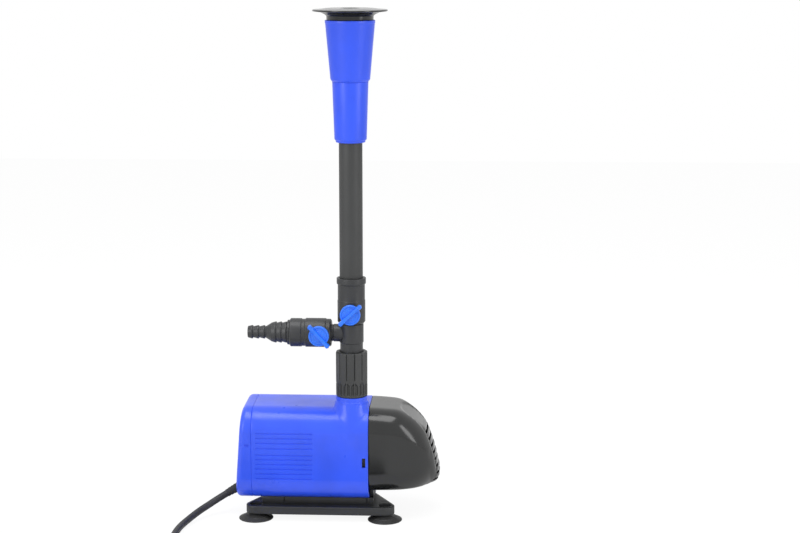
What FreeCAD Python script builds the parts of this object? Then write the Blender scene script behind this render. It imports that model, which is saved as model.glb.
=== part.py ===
import FreeCAD, Part
import math
import os

# Fountain submersible pump with a valve tee, a riser and a water-bell nozzle.
# Millimetres. +X runs to the intake nose, +Z up. The pieces are drawn about the
# rotor's plane, y = 0, and saved about the frame's origin, which is on the floor
# under the centre of the whole pump without its cord.

V = FreeCAD.Vector
X_AXIS = V(1, 0, 0)
Y_AXIS = V(0, 1, 0)
Z_AXIS = V(0, 0, 1)

# Clearances
RUN = 0.08            # radial running fit of shafts, plugs and the riser in its socket
GAP = 0.3             # between pieces that move past each other
SEAT = 0.1            # between fixed pieces that slip together

# Housing, a rounded box along X
REAR_X = -103.46      # foot of the rear face before its edge is rounded
SEAM_X = -86.1        # joint between rear cover and housing
FRONT_X = 32.3        # front end of the housing
HOUSING_HALF_Y = 46.5
HOUSING_LOW = 21.0
HOUSING_TOP = 116.0
HOUSING_R = 25.0
HOUSING_WALL = 3.0
REAR_SLANT = 4.0      # degrees that the rear face leans forward towards its top
REAR_ROUND = 5.0
RIB_DEPTH = 0.6       # grip grooves along both sides
RIB_WIDTH = 1.4
RIB_START = -81.5
RIB_END = -24.2
UPPER_RIBS = (77.5, 83.0, 88.0, 93.0)
LOWER_RIBS = (46.0, 51.0, 56.0, 61.0, 66.0, 70.5)

# Intake cover (nose)
NOSE_WALL = 2.5
NOSE_HALF_Y = 46.0
NOSE_LOW = 29.2
NOSE_TOP = 115.7
NOSE_TIP_X = 103.1
NOSE_TAPER_X = 42.5   # where the plan outline starts to close
NOSE_SQUARENESS = 2.4
NOSE_R = 24.0
SPIGOT = 4.0          # depth of the cover's rim inside the housing
# rise of the underside and fall of the top behind the tip: (x, rise, fall)
NOSE_STATIONS = (
    (48.0, 0.2, 0.8),
    (62.0, 0.2, 2.5),
    (73.0, 0.6, 8.2),
    (82.0, 1.3, 15.2),
    (90.0, 2.6, 24.1),
    (96.0, 4.2, 36.7),
    (100.4, 6.3, 51.2),
    (102.4, 8.8, 62.0),
)
LOUVRES = 8
LOUVRE_LOW = 39.5
LOUVRE_PITCH = 7.1
LOUVRE_HEIGHT = 2.6
LOUVRE_HALF = 18.0
LOUVRE_TILT = 7.5     # added to each louvre of the upper half
TONGUE_WIDTH = 9.4
TONGUE_LENGTH = 8.0
TONGUE_THICK = 2.0
WINDOW_X = (26.1, 29.6)
WINDOW_Z = 63.5
SPONGE_X = (40.0, 86.0)
SPONGE_BORE = 14.0

# Motor
AXIS_Z = 70.5         # the rotor's axis
CASE_HALF = 38.0
CASE_R = 18.0
CASE_REAR = -72.0
CASE_FRONT = -4.0
CASE_WALL = 2.5
CASE_FLANGE = 4.0
CAN_R = 15.7
CAN_WALL = 1.5
CAN_REAR = -64.0
ROTOR_R = 13.6
ROTOR_X = (-56.5, -14.0)
SHAFT_R = 2.5
BUSH_R = 5.0
BUSH_LENGTH = 5.0
CORE_X = (-56.0, -20.0)
CORE_R = 34.0
CORE_YOKE = 7.0
POLE_HALF = 7.0
COIL_HALF = 14.0
COIL_LOW = 16.6
COIL_HIGH = 22.4
COIL_TURN = 4.0       # how far the winding stands out past the core's ends

# Pump chamber
CHAMBER_R = 31.5
CHAMBER_WALL = 2.5
CHAMBER_BACK = 3.0
CHAMBER_FRONT = 26.0
COVER_THICK = 3.0
EYE_R = 10.0
SNORKEL = 2.9
SEAL_R = 1.0
COVER_RIM = 3.5
IMPELLER_R = CHAMBER_R - 4.5
IMPELLER_HUB = 6.0
VANES = 6
VANE_THICK = 1.8
VANE_X = (8.0, 22.0)

# Outlet, tangential to the chamber
RISER_X = 14.5
RISER_Y = -22.0
TEE_R = 11.5
PIPE_R = TEE_R + 1.5  # crest of the 3/4 inch thread
WATERWAY_R = 9.5
PIPE_TOP = 150.0
BOSS_R = PIPE_R + 3.3
BOSS_TOP = 128.0
GASKET = 2.0
NUT_R = PIPE_R + 3.15
NUT_TOP = 174.0
NUT_STEP = 145.6      # between the wide flutes above and the fine ribs below
NUT_GROOVE = 0.8
NUT_FLUTES = 12
NUT_RIBS = 24
FLANGE_THICK = 5.0

# Valve tee
TEE_TOP = 206.5
SOCKET_R = TEE_R + 2.5
SOCKET_LOW = 203.3
SOCKET_TOP = 249.5
SOCKET_DEPTH = 24.0
COLLAR_R = SOCKET_R + 0.7
COLLAR_HEIGHT = 6.0
BRANCH_Z = 192.7
BRANCH_R = 8.45
BRANCH_WATER = 5.5
SIDE_R = 14.65
SIDE_X = (-47.6, -5.7)
BRANCH_SEAT = 3.2     # how deep the branch sits in the side valve
TAIL_SEAT = 8.0       # how deep the hose tail sits in it

# Cocks, one in the riser and one in the side branch
RISER_COCK_Z = 214.5
SIDE_COCK_X = -17.1
PLUG_R = 7.5
PLUG_BACK = 8.5
PLUG_FRONT = 11.0
STEM_R = 4.5
GROOVE_AT = 1.6       # seal groove, in front of the plug
GROOVE_WIDTH = 1.7
GROOVE_DEPTH = 1.6
KNOB_FACE = 19.6      # front of the knob's disc, from the valve's axis
KNOB_THICK = 4.0
KNOB_R = 10.25
WING_LENGTH = 30.0
WING_WIDTH = 4.4
WING_HEIGHT = 4.0
RISER_WING = 42.5     # degrees from horizontal, as left in use
SIDE_WING = -47.5

# Hose tail
TAIL_TIP = -90.5
TAIL_SMALL_R = 6.8
TAIL_LARGE_R = 10.7
TAIL_BARB = 0.7
TAIL_SMALL_END = -72.2
TAIL_LARGE_START = -66.0
TAIL_FLANGE_X = -50.0
TAIL_FLANGE_R = 12.5
TAIL_BORE = 4.2

# Riser and nozzle
TUBE_R = 11.7
TUBE_WALL = 1.8
TUBE_TOP = 429.8
CONE_FOOT = TUBE_TOP - 44.0
CONE_JOINT = CONE_FOOT + 59.7
CONE_TOP = CONE_JOINT + 60.0
LOWER_CONE = ((14.6, CONE_FOOT), (16.0, CONE_FOOT + 3), (17.9, CONE_JOINT))
LOWER_STOP_R = 10.2
LOWER_STOP = 3.0
CONE_SOCKET_R = 14.6
CONE_SPIGOT = 9.0
UPPER_CONE = (
    (17.9, CONE_JOINT),
    (19.6, CONE_JOINT + 2.5),
    (24.4, CONE_TOP - 3),
    (24.7, CONE_TOP),
)
CONE_WALL = 1.6
HUB_R = 6.0
HUB_Z = (CONE_JOINT + 6.5, CONE_JOINT + 18.5)
WEB = 2.0
STEM_Z = HUB_Z[0] + 2
BELL_STEM_R = 3.0
BELL_RIM_R = 37.0
BELL_NECK_R = 23.2
BELL_TOP = CONE_TOP + 11.5
BELL_RIM_Z = CONE_TOP + 8.5
BELL_FLARE_Z = CONE_TOP + 4.0
BELL_PLUG_R = 9.0
BELL_PLUG_Z = HUB_Z[1] + 8

# Base and feet
PLATE_LOW = 6.8
PLATE_TOP = 15.2
EAR_R = 9.8
NEAR_FEET = ((-83.5, -32.0), (48.5, -32.0))
FAR_FEET = ((14.5, 32.0), (-50.5, 32.0))
CRADLE_X = (-77.5, 36.5)
CRADLE_HALF_Y = 29.0
CRADLE_TOP = 24.8
STOP_X = 32.6
STOP_TOP = 28.7
STOP_HALF_Y = 20.0
CUP_R = 17.5
CUP_HOLLOW = 2.6
CUP_RIM = 2.4         # width that touches the floor
CUP_NECK_R = 3.5
CUP_HEAD_R = 5.6
CUP_HEAD_Z = (10.4, 13.2)
EAR_HOLE_R = 6.2
BASE_SCREWS_X = (-58.0, -22.0)
SCREW_R = 1.9
SCREW_HEAD_R = 3.6
SCREW_HEAD = 2.4
SCREW_TOP = 30.0
PAD_R = 5.0
PAD_TOP = 32.0

# Rear cover screws
POST_R = 5.0
POST_OFFSET = 12.2    # from the centre of the housing's corner round
POST_X = (-80.0, -72.4)
REAR_SCREW_X = (-96.5, -74.0)
REAR_HEAD_R = 3.0
REAR_HEAD = 2.0
REAR_SCREW_R = 1.5

# Cord
CORD_R = 3.5
GLAND_AT = V(-102.5, -10.0, 27.6)
GLAND_DOWN = 25.0     # degrees that its tip droops
GLAND_ASIDE = 27.0    # degrees that its tip is drawn towards -Y
GLAND_INSIDE = 9.0
GLAND_LENGTH = 16.0
GLAND_R = 4.4
GLAND_TIP_R = 3.9
GLAND_FLANGE_R = 5.4
GLAND_FLANGE = 2.0
CORD_FIRST = 12.0     # straight length out of the gland
CORD_ROUTE = (
    (-132.9, -28.6, 11.8),
    (-140.6, -38.6, 8.8),
    (-148.9, -56.0, 5.6),
    (-155.4, -79.0, 4.0),
    (-156.6, -104.0, 3.5),
    (-156.2, -131.0, 3.5),
    (-155.0, -158.0, 3.5),
    (-154.5, -184.0, 3.5),
)
HANK_CENTRE = (-52.5, -186.0)
HANK_RUN = 134.0      # length of its straight runs
HANK_MEAN_R = 28.0    # of the turns at its two ends
HANK_COLUMNS = 3
HANK_LAYERS = 2
HANK_TOP = 2 * HANK_LAYERS * CORD_R
TIE_HALF = 5.0
TIE_THICK = 1.2
TAIL_ROUTE = (
    (-134.8, -213.6, HANK_TOP + 2.6),
    (-120.3, -217.4, HANK_TOP + 3.2),
    (-104.9, -213.1, HANK_TOP + 3.6),
    (-93.9, -201.7, HANK_TOP + 3.6),
    (-82.9, -190.2, HANK_TOP + 3.2),
    (-67.5, -186.0, HANK_TOP + 2.8),
)
PLUG_BODY_R = 16.5
PLUG_X = (-58.0, 3.0)
PLUG_Y = HANK_CENTRE[1]
PLUG_Z = PLUG_BODY_R
PLUG_SLEEVE = 26.0
PLUG_PIN_R = 2.4
PLUG_PIN_SPACING = 19.0
PLUG_PIN_LENGTH = 19.0

# The bell's rim reaches out on one side and the far feet on the other, so the
# frame's origin lies beside the rotor's plane.
NEAR_REACH = max(BELL_RIM_R - RISER_Y, HOUSING_HALF_Y)
FAR_REACH = max(FAR_FEET[0][1] + CUP_R, HOUSING_HALF_Y)
FRAME_SHIFT = V(0, (NEAR_REACH - FAR_REACH) / 2, 0)


def save(name, shape):
    """Write one node; a node may be a group of separate solids."""
    if not shape.isValid():
        print("not valid:", name)
    shape = shape.copy()
    shape.translate(FRAME_SHIFT)
    shape.exportStep(f"parts/{name}.step")


def box(x0, x1, y0, y1, z0, z1):
    return Part.makeBox(x1 - x0, y1 - y0, z1 - z0, V(x0, y0, z0))


def rod(start, along, radius, length):
    return Part.makeCylinder(radius, length, start, along)


def rod_x(radius, x0, x1, y, z):
    return rod(V(x0, y, z), X_AXIS, radius, x1 - x0)


def rod_z(radius, z0, z1, x=RISER_X, y=RISER_Y):
    return rod(V(x, y, z0), Z_AXIS, radius, z1 - z0)


def turned(profile, base, along):
    """Solid of revolution of a closed (radius, height) outline about a line."""
    points = [V(r, 0, h) for r, h in profile]
    face = Part.Face(Part.makePolygon(points + [points[0]]))
    solid = face.revolve(V(0, 0, 0), Z_AXIS, 360)
    solid.Placement = FreeCAD.Placement(base, FreeCAD.Rotation(Z_AXIS, along))
    return solid


def rounded_face(x, half_y, low, high, radius):
    """Rounded rectangle across X, centred on y = 0."""
    mid_y = half_y - radius
    low_z = low + radius
    high_z = high - radius
    bend = radius * math.sqrt(0.5)
    corners = []
    for sign_y, z, sign_z in ((1, low_z, -1), (1, high_z, 1), (-1, high_z, 1), (-1, low_z, -1)):
        centre = V(x, sign_y * mid_y, z)
        side = centre + V(0, sign_y * radius, 0)
        end = centre + V(0, 0, sign_z * radius)
        middle = centre + V(0, sign_y * bend, sign_z * bend)
        corners.append((end, middle, side) if sign_y * sign_z < 0 else (side, middle, end))
    edges = []
    for index, (start, middle, end) in enumerate(corners):
        edges.append(Part.Arc(start, middle, end).toShape())
        following = corners[(index + 1) % len(corners)][0]
        edges.append(Part.LineSegment(end, following).toShape())
    return Part.Wire(edges)


def rounded_prism(x0, x1, half_y, low, high, radius):
    wire = rounded_face(x0, half_y, low, high, radius)
    return Part.Face(wire).extrude(V(x1 - x0, 0, 0))


def housing_prism(x0, x1, inset):
    return rounded_prism(
        x0,
        x1,
        HOUSING_HALF_Y - inset,
        HOUSING_LOW + inset,
        HOUSING_TOP - inset,
        HOUSING_R - inset,
    )


# --- housing and rear cover -------------------------------------------------

def rear_screw_places():
    """Centres (y, z) of the four screws that hold the rear cover."""
    side = HOUSING_HALF_Y - HOUSING_R + POST_OFFSET
    low = HOUSING_LOW + HOUSING_R - POST_OFFSET
    high = HOUSING_TOP - HOUSING_R + POST_OFFSET
    return [(sign * side, z) for sign in (-1, 1) for z in (low, high)]


def mouth(inset, x0, x1):
    """Outline of the intake cover's rim, seen from the front."""
    return rounded_prism(
        x0,
        x1,
        NOSE_HALF_Y - inset,
        NOSE_LOW + inset,
        NOSE_TOP - inset,
        NOSE_R - inset,
    )


def grip_grooves():
    grooves = []
    for z in UPPER_RIBS + LOWER_RIBS:
        for side in (-1, 1):
            outer = side * (HOUSING_HALF_Y + RIB_DEPTH)
            inner = side * (HOUSING_HALF_Y - RIB_DEPTH)
            low_y, high_y = sorted((outer, inner))
            grooves.append(box(RIB_START, RIB_END, low_y, high_y, z - RIB_WIDTH / 2, z + RIB_WIDTH / 2))
    return Part.makeCompound(grooves)


def build_housing():
    shell = housing_prism(SEAM_X, FRONT_X, 0)
    cavity = housing_prism(SEAM_X - 1, FRONT_X - SPIGOT - GAP, HOUSING_WALL)
    rim = mouth(NOSE_WALL + SEAT, FRONT_X - SPIGOT - 2 * GAP, FRONT_X + 1)
    fairing = turned(
        (
            (0, HOUSING_TOP - HOUSING_R),
            (HOUSING_R, HOUSING_TOP - HOUSING_R),
            (HOUSING_R - 2, HOUSING_TOP - 12),
            (BOSS_R + 1.5, HOUSING_TOP + 1),
            (BOSS_R, HOUSING_TOP + 5),
            (BOSS_R, BOSS_TOP),
            (0, BOSS_TOP),
        ),
        V(RISER_X, RISER_Y, 0),
        Z_AXIS,
    )
    front_limit = box(SEAM_X, FRONT_X, -HOUSING_HALF_Y, HOUSING_HALF_Y, 0, BOSS_TOP)
    shell = shell.fuse(fairing.common(front_limit)).cut(cavity).cut(rim)
    for y, z in rear_screw_places():
        post = rod_x(POST_R, POST_X[0], POST_X[1], y, z)
        shell = shell.fuse(post.common(housing_prism(POST_X[0], POST_X[1], 1)))
        shell = shell.cut(rod_x(REAR_SCREW_R, POST_X[0] - 1, POST_X[1] + 1, y, z))
    for x in BASE_SCREWS_X:
        shell = shell.fuse(rod_z(PAD_R, HOUSING_LOW + 1, PAD_TOP, x, 0))
        shell = shell.cut(rod_z(SCREW_R, 0, SCREW_TOP + 1, x, 0))
    shell = shell.cut(rod_z(PIPE_R + SEAT, AXIS_Z, BOSS_TOP + 1))
    half = TONGUE_WIDTH / 2 + GAP
    for side in (-1, 1):
        outer = side * (HOUSING_HALF_Y + 1)
        inner = side * (HOUSING_HALF_Y - HOUSING_WALL - 1)
        low_y, high_y = sorted((outer, inner))
        shell = shell.cut(box(WINDOW_X[0], WINDOW_X[1], low_y, high_y, WINDOW_Z - half, WINDOW_Z + half))
    return shell.cut(grip_grooves())


def rear_half_space(offset):
    """Everything behind the slanted rear face, moved forward by offset."""
    block = Part.makeBox(60, 200, 300, V(-60, -100, -100))
    block.rotate(V(0, 0, 0), Y_AXIS, REAR_SLANT)
    block.translate(V(REAR_X + offset, 0, HOUSING_LOW))
    return block


def build_rear_cover():
    outer = housing_prism(REAR_X - 5, SEAM_X, 0).cut(rear_half_space(0))
    back = min(outer.Faces, key=lambda face: face.CenterOfMass.x)
    outer = outer.makeFillet(REAR_ROUND, back.Edges)
    cavity = housing_prism(REAR_X - 5, SEAM_X + 1, HOUSING_WALL).cut(rear_half_space(HOUSING_WALL))
    cover = outer.cut(cavity)
    lip_outer = housing_prism(SEAM_X - 2, SEAM_X + 5, HOUSING_WALL + SEAT)
    lip_inner = housing_prism(SEAM_X - 3, SEAM_X + 6, HOUSING_WALL + 2.2)
    lip = lip_outer.cut(lip_inner)
    joint = housing_prism(SEAM_X - 2, SEAM_X, HOUSING_WALL - 1).cut(lip_inner)
    cover = cover.fuse(joint).fuse(lip)
    for y, z in rear_screw_places():
        sleeve = rod_x(REAR_HEAD_R + 1.5, REAR_X + 1, POST_X[0], y, z)
        cover = cover.fuse(sleeve.common(outer.fuse(housing_prism(SEAM_X, POST_X[0], HOUSING_WALL + SEAT))))
        cover = cover.cut(rod_x(REAR_HEAD_R + SEAT, REAR_X - 5, REAR_SCREW_X[0] + REAR_HEAD, y, z))
        cover = cover.cut(rod_x(REAR_SCREW_R + SEAT, REAR_X, POST_X[0] + 1, y, z))
    return cover.cut(gland_bore())


def build_rear_screws():
    screws = []
    for y, z in rear_screw_places():
        head = rod_x(REAR_HEAD_R, REAR_SCREW_X[0], REAR_SCREW_X[0] + REAR_HEAD, y, z)
        screws.append(head.fuse(rod_x(REAR_SCREW_R, REAR_SCREW_X[0], REAR_SCREW_X[1], y, z)))
    return Part.makeCompound(screws)


# --- intake cover -----------------------------------------------------------

def nose_half_width(x):
    if x <= NOSE_TAPER_X:
        return NOSE_HALF_Y
    share = (x - NOSE_TAPER_X) / (NOSE_TIP_X + 0.6 - NOSE_TAPER_X)
    return NOSE_HALF_Y * (1 - share ** NOSE_SQUARENESS) ** (1 / NOSE_SQUARENESS)


def nose_solid(inset, start, end_trim):
    """The nose's envelope, drawn in by inset, as a loft of rounded sections."""
    wires = []
    stations = ((start, 0.0, 0.0),) + NOSE_STATIONS + ((NOSE_TIP_X, 12.0, 67.5),)
    for x, rise, fall in stations:
        half = nose_half_width(x) - inset
        low = NOSE_LOW + rise + inset
        high = NOSE_TOP - fall - inset
        if min(half, (high - low) / 2) < 2:
            break
        radius = min(NOSE_R - inset, 0.96 * half, 0.48 * (high - low))
        wires.append(rounded_face(x - end_trim, half, low, high, radius))
    return Part.makeLoft(wires, True, False)


def louvre_cutters():
    cutters = []
    outline = [(x, NOSE_TOP - fall) for x, rise, fall in NOSE_STATIONS]
    for index in range(LOUVRES):
        z = LOUVRE_LOW + index * LOUVRE_PITCH
        above = [x for x, top in outline if top > z]
        front = above[-1] if above else NOSE_TIP_X
        tilt = max(0, index - LOUVRES // 2 + 1) * LOUVRE_TILT
        cutter = box(-16, 16, -LOUVRE_HALF, LOUVRE_HALF, -LOUVRE_HEIGHT / 2, LOUVRE_HEIGHT / 2)
        cutter.rotate(V(0, 0, 0), Y_AXIS, -tilt)
        cutter.translate(V(front, 0, z))
        cutters.append(cutter)
    return Part.makeCompound(cutters)


def build_intake_cover():
    start = FRONT_X + GAP
    outer = nose_solid(0, start, 0)
    inner = nose_solid(NOSE_WALL, start - 1, 0)
    cover = outer.cut(inner)
    spigot_low = NOSE_WALL + SEAT + GAP
    spigot = mouth(spigot_low, FRONT_X - SPIGOT, start + 2)
    spigot = spigot.cut(mouth(spigot_low + 2.2, FRONT_X - SPIGOT - 1, start + 3))
    joint = mouth(1.0, start, start + 2).cut(mouth(spigot_low + 2.2, start - 1, start + 3))
    cover = cover.fuse(joint).fuse(spigot)
    half = TONGUE_WIDTH / 2
    for side in (-1, 1):
        outer_y = side * (NOSE_HALF_Y - spigot_low)
        inner_y = side * (NOSE_HALF_Y - spigot_low - TONGUE_THICK)
        low_y, high_y = sorted((outer_y, inner_y))
        cover = cover.fuse(
            box(FRONT_X - TONGUE_LENGTH, start + 1, low_y, high_y, WINDOW_Z - half, WINDOW_Z + half)
        )
    return cover.cut(louvre_cutters())


def build_sponge():
    inner = nose_solid(NOSE_WALL + 0.5, FRONT_X, 0)
    slab = box(SPONGE_X[0], SPONGE_X[1], -80, 80, 0, 200)
    bore = rod_x(SPONGE_BORE, SPONGE_X[0] - 1, SPONGE_X[0] + 20, 0, AXIS_Z)
    return inner.common(slab).cut(bore)


# --- motor ------------------------------------------------------------------

def case_prism(x0, x1, inset):
    return rounded_prism(
        x0,
        x1,
        CASE_HALF - inset,
        AXIS_Z - CASE_HALF + inset,
        AXIS_Z + CASE_HALF - inset,
        CASE_R - inset,
    )


def build_motor_case():
    case = case_prism(CASE_REAR, CASE_FRONT, 0).cut(
        case_prism(CASE_REAR - 1, CASE_FRONT - CASE_WALL, CASE_WALL)
    )
    flange = housing_prism(CASE_FRONT, CASE_FRONT + CASE_FLANGE, HOUSING_WALL + GAP)
    hole = rod_x(CAN_R, CASE_FRONT - CASE_WALL - 1, CASE_FRONT + CASE_FLANGE + 1, 0, AXIS_Z)
    return case.fuse(flange).cut(hole)


def build_rotor_can():
    front = CASE_FRONT + CASE_FLANGE
    can = rod_x(CAN_R, CAN_REAR, front, 0, AXIS_Z)
    can = can.cut(rod_x(CAN_R - CAN_WALL, CAN_REAR + CAN_WALL, front + 1, 0, AXIS_Z))
    seat_end = CAN_REAR + CAN_WALL + BUSH_LENGTH
    seat = rod_x(BUSH_R + 2, CAN_REAR + CAN_WALL - 0.2, seat_end, 0, AXIS_Z)
    return can.fuse(seat).cut(rod_x(BUSH_R, CAN_REAR + CAN_WALL, seat_end + 1, 0, AXIS_Z))


def pole_blocks():
    top = box(CORE_X[0], CORE_X[1], -POLE_HALF, POLE_HALF, AXIS_Z, AXIS_Z + CORE_R - 1)
    low = box(CORE_X[0], CORE_X[1], -POLE_HALF, POLE_HALF, AXIS_Z - CORE_R + 1, AXIS_Z)
    return top.fuse(low)


def build_stator_core():
    ring = rod_x(CORE_R, CORE_X[0], CORE_X[1], 0, AXIS_Z)
    ring = ring.cut(rod_x(CORE_R - CORE_YOKE, CORE_X[0] - 1, CORE_X[1] + 1, 0, AXIS_Z))
    core = ring.fuse(pole_blocks())
    return core.cut(rod_x(CAN_R + SEAT, CORE_X[0] - 1, CORE_X[1] + 1, 0, AXIS_Z))


def build_winding(side):
    low, high = sorted((AXIS_Z + side * COIL_LOW, AXIS_Z + side * COIL_HIGH))
    outer = box(CORE_X[0] - COIL_TURN, CORE_X[1] + COIL_TURN, -COIL_HALF, COIL_HALF, low, high)
    inner = box(CORE_X[0] - SEAT, CORE_X[1] + SEAT, -POLE_HALF - SEAT, POLE_HALF + SEAT, low - 1, high + 1)
    return outer.cut(inner)


def build_potting(core, windings):
    fill = case_prism(CASE_REAR, CASE_FRONT - CASE_WALL, CASE_WALL)
    fill = fill.cut(rod_x(CAN_R, CAN_REAR, CASE_FRONT, 0, AXIS_Z)).cut(core)
    for winding in windings:
        fill = fill.cut(winding)
    return Part.makeCompound(fill.Solids)


def build_shaft():
    return rod_x(SHAFT_R, CAN_REAR + CAN_WALL + 0.5, CHAMBER_FRONT + COVER_THICK - 0.5, 0, AXIS_Z)


def build_bush(x0, x1):
    bush = rod_x(BUSH_R, x0, x1, 0, AXIS_Z)
    return bush.cut(rod_x(SHAFT_R, x0 - 1, x1 + 1, 0, AXIS_Z))


def build_rotor_magnet():
    magnet = rod_x(ROTOR_R, ROTOR_X[0], ROTOR_X[1], 0, AXIS_Z)
    return magnet.cut(rod_x(SHAFT_R + 1, ROTOR_X[0] - 1, ROTOR_X[1] + 1, 0, AXIS_Z))


def build_rotor_sleeve():
    """Plastic core of the rotor that carries the magnet and runs on the shaft."""
    sleeve = rod_x(SHAFT_R + 1, ROTOR_X[0] + 1, ROTOR_X[1], 0, AXIS_Z)
    return sleeve.cut(rod_x(SHAFT_R + RUN, ROTOR_X[0], ROTOR_X[1] + 1, 0, AXIS_Z))


def build_impeller():
    hub = rod_x(IMPELLER_HUB, ROTOR_X[1], VANE_X[1], 0, AXIS_Z)
    plate = rod_x(IMPELLER_R, VANE_X[0] - 2, VANE_X[0], 0, AXIS_Z)
    wheel = hub.fuse(plate)
    for index in range(VANES):
        vane = box(
            VANE_X[0] - 0.5,
            VANE_X[1],
            -VANE_THICK / 2,
            VANE_THICK / 2,
            AXIS_Z + IMPELLER_HUB - 1,
            AXIS_Z + IMPELLER_R - 0.3,
        )
        vane.rotate(V(0, 0, AXIS_Z), X_AXIS, 360 / VANES * index)
        wheel = wheel.fuse(vane)
    return wheel.cut(rod_x(SHAFT_R + RUN, ROTOR_X[1] - 1, VANE_X[1] + 1, 0, AXIS_Z))


# --- pump chamber -----------------------------------------------------------

def build_volute():
    rear = CASE_FRONT + CASE_FLANGE
    outer_r = CHAMBER_R + CHAMBER_WALL
    body = rod_x(outer_r, rear, CHAMBER_FRONT, 0, AXIS_Z)
    pipe = rod_z(PIPE_R, AXIS_Z, PIPE_TOP)
    body = body.fuse(pipe)
    body = body.cut(rod_x(CHAMBER_R, rear + CHAMBER_BACK, CHAMBER_FRONT + 1, 0, AXIS_Z))
    body = body.cut(rod_x(outer_r + GAP, CHAMBER_FRONT, CHAMBER_FRONT + COVER_THICK, 0, AXIS_Z))
    body = body.cut(rod_z(WATERWAY_R, AXIS_Z, PIPE_TOP + 1))
    return body.cut(rod_x(CAN_R - CAN_WALL, rear - 1, rear + CHAMBER_BACK + 1, 0, AXIS_Z))


def chamber_seal_ring(radius):
    groove_x = CHAMBER_FRONT - COVER_RIM / 2
    ring_r = CHAMBER_R - SEAT - radius
    return Part.makeTorus(ring_r, radius, V(groove_x, 0, AXIS_Z), X_AXIS)


def build_chamber_cover():
    end = CHAMBER_FRONT + COVER_THICK
    cover = rod_x(CHAMBER_R + CHAMBER_WALL, CHAMBER_FRONT, end, 0, AXIS_Z)
    rim = rod_x(CHAMBER_R - 0.2, CHAMBER_FRONT - COVER_RIM, CHAMBER_FRONT, 0, AXIS_Z)
    rim = rim.cut(rod_x(CHAMBER_R - 3, CHAMBER_FRONT - COVER_RIM - 1, CHAMBER_FRONT + 1, 0, AXIS_Z))
    rim = rim.cut(chamber_seal_ring(SEAL_R + 0.02))
    # the rim stands back where the outlet leaves the chamber
    rim = rim.cut(box(0, CHAMBER_FRONT, -CHAMBER_R - 1, RISER_Y + WATERWAY_R + 2, AXIS_Z, AXIS_Z + 40))
    snorkel = rod_x(EYE_R + 2, end, end + SNORKEL, 0, AXIS_Z)
    cover = cover.fuse(rim).fuse(snorkel)
    cover = cover.cut(rod_x(EYE_R, CHAMBER_FRONT - COVER_RIM, end + SNORKEL + 1, 0, AXIS_Z))
    spider = rod_x(BUSH_R + 1.5, CHAMBER_FRONT - 2, end, 0, AXIS_Z)
    for index in range(3):
        arm = box(CHAMBER_FRONT, end, -1, 1, AXIS_Z + BUSH_R, AXIS_Z + EYE_R + 1)
        arm.rotate(V(0, 0, AXIS_Z), X_AXIS, 120 * index)
        spider = spider.fuse(arm)
    cover = cover.fuse(spider)
    return cover.cut(rod_x(BUSH_R, CHAMBER_FRONT - 3, end + 1, 0, AXIS_Z))


def build_chamber_seal():
    seal = chamber_seal_ring(SEAL_R)
    return seal.cut(box(0, CHAMBER_FRONT + 9, -CHAMBER_R - 1, RISER_Y + WATERWAY_R + 2, AXIS_Z, AXIS_Z + 40))


# --- outlet and union -------------------------------------------------------

def build_gasket():
    ring = rod_z(PIPE_R - 0.2, PIPE_TOP, PIPE_TOP + GASKET)
    return ring.cut(rod_z(WATERWAY_R, PIPE_TOP - 1, PIPE_TOP + GASKET + 1))


def tee_foot():
    return PIPE_TOP + GASKET + GAP


def build_union_nut():
    low = BOSS_TOP + GAP
    lip_z = tee_foot() + FLANGE_THICK + GAP
    nut = turned(
        ((0, low), (NUT_R, low), (NUT_R, NUT_TOP - 1.2), (NUT_R - 1.2, NUT_TOP), (0, NUT_TOP)),
        V(RISER_X, RISER_Y, 0),
        Z_AXIS,
    )
    nut = nut.cut(rod_z(PIPE_R + GAP, low - 1, lip_z))
    nut = nut.cut(rod_z(TEE_R + GAP, lip_z - 1, NUT_TOP + 1))
    grooves = []
    for count, z0, z1 in ((NUT_FLUTES, NUT_STEP, NUT_TOP + 1), (NUT_RIBS, low - 1, NUT_STEP - 1)):
        for index in range(count):
            turn = 2 * math.pi * index / count
            x = RISER_X + (NUT_R + 0.2) * math.cos(turn)
            y = RISER_Y + (NUT_R + 0.2) * math.sin(turn)
            grooves.append(rod_z(NUT_GROOVE, z0, z1, x, y))
    return nut.cut(Part.makeCompound(grooves))


def build_tee():
    foot = tee_foot()
    body = rod_z(TEE_R, foot, TEE_TOP)
    body = body.fuse(rod_z(PIPE_R - 0.1, foot, foot + FLANGE_THICK))
    body = body.fuse(rod_x(BRANCH_R, SIDE_X[1] - BRANCH_SEAT, RISER_X, RISER_Y, BRANCH_Z))
    body = body.cut(rod_z(WATERWAY_R, foot - 1, TEE_TOP + 1))
    return body.cut(rod_x(BRANCH_WATER, SIDE_X[1] - BRANCH_SEAT - 1, RISER_X, RISER_Y, BRANCH_Z))


# --- cocks ------------------------------------------------------------------

def cock_bore(centre):
    """What a valve body loses to its plug and stem; the stem runs towards -Y."""
    front = centre + V(0, -PLUG_FRONT, 0)
    bore = rod(front, Y_AXIS, PLUG_R, PLUG_FRONT + PLUG_BACK)
    return bore.fuse(rod(centre + V(0, -KNOB_FACE, 0), Y_AXIS, STEM_R + RUN, KNOB_FACE))


def stem_groove(centre):
    """Square groove in the stem for its seal."""
    start = centre + V(0, -PLUG_FRONT - GROOVE_AT - GROOVE_WIDTH / 2, 0)
    outer = rod(start, Y_AXIS, STEM_R + 1, GROOVE_WIDTH)
    return outer.cut(rod(start, Y_AXIS, STEM_R - GROOVE_DEPTH, GROOVE_WIDTH))


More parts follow.
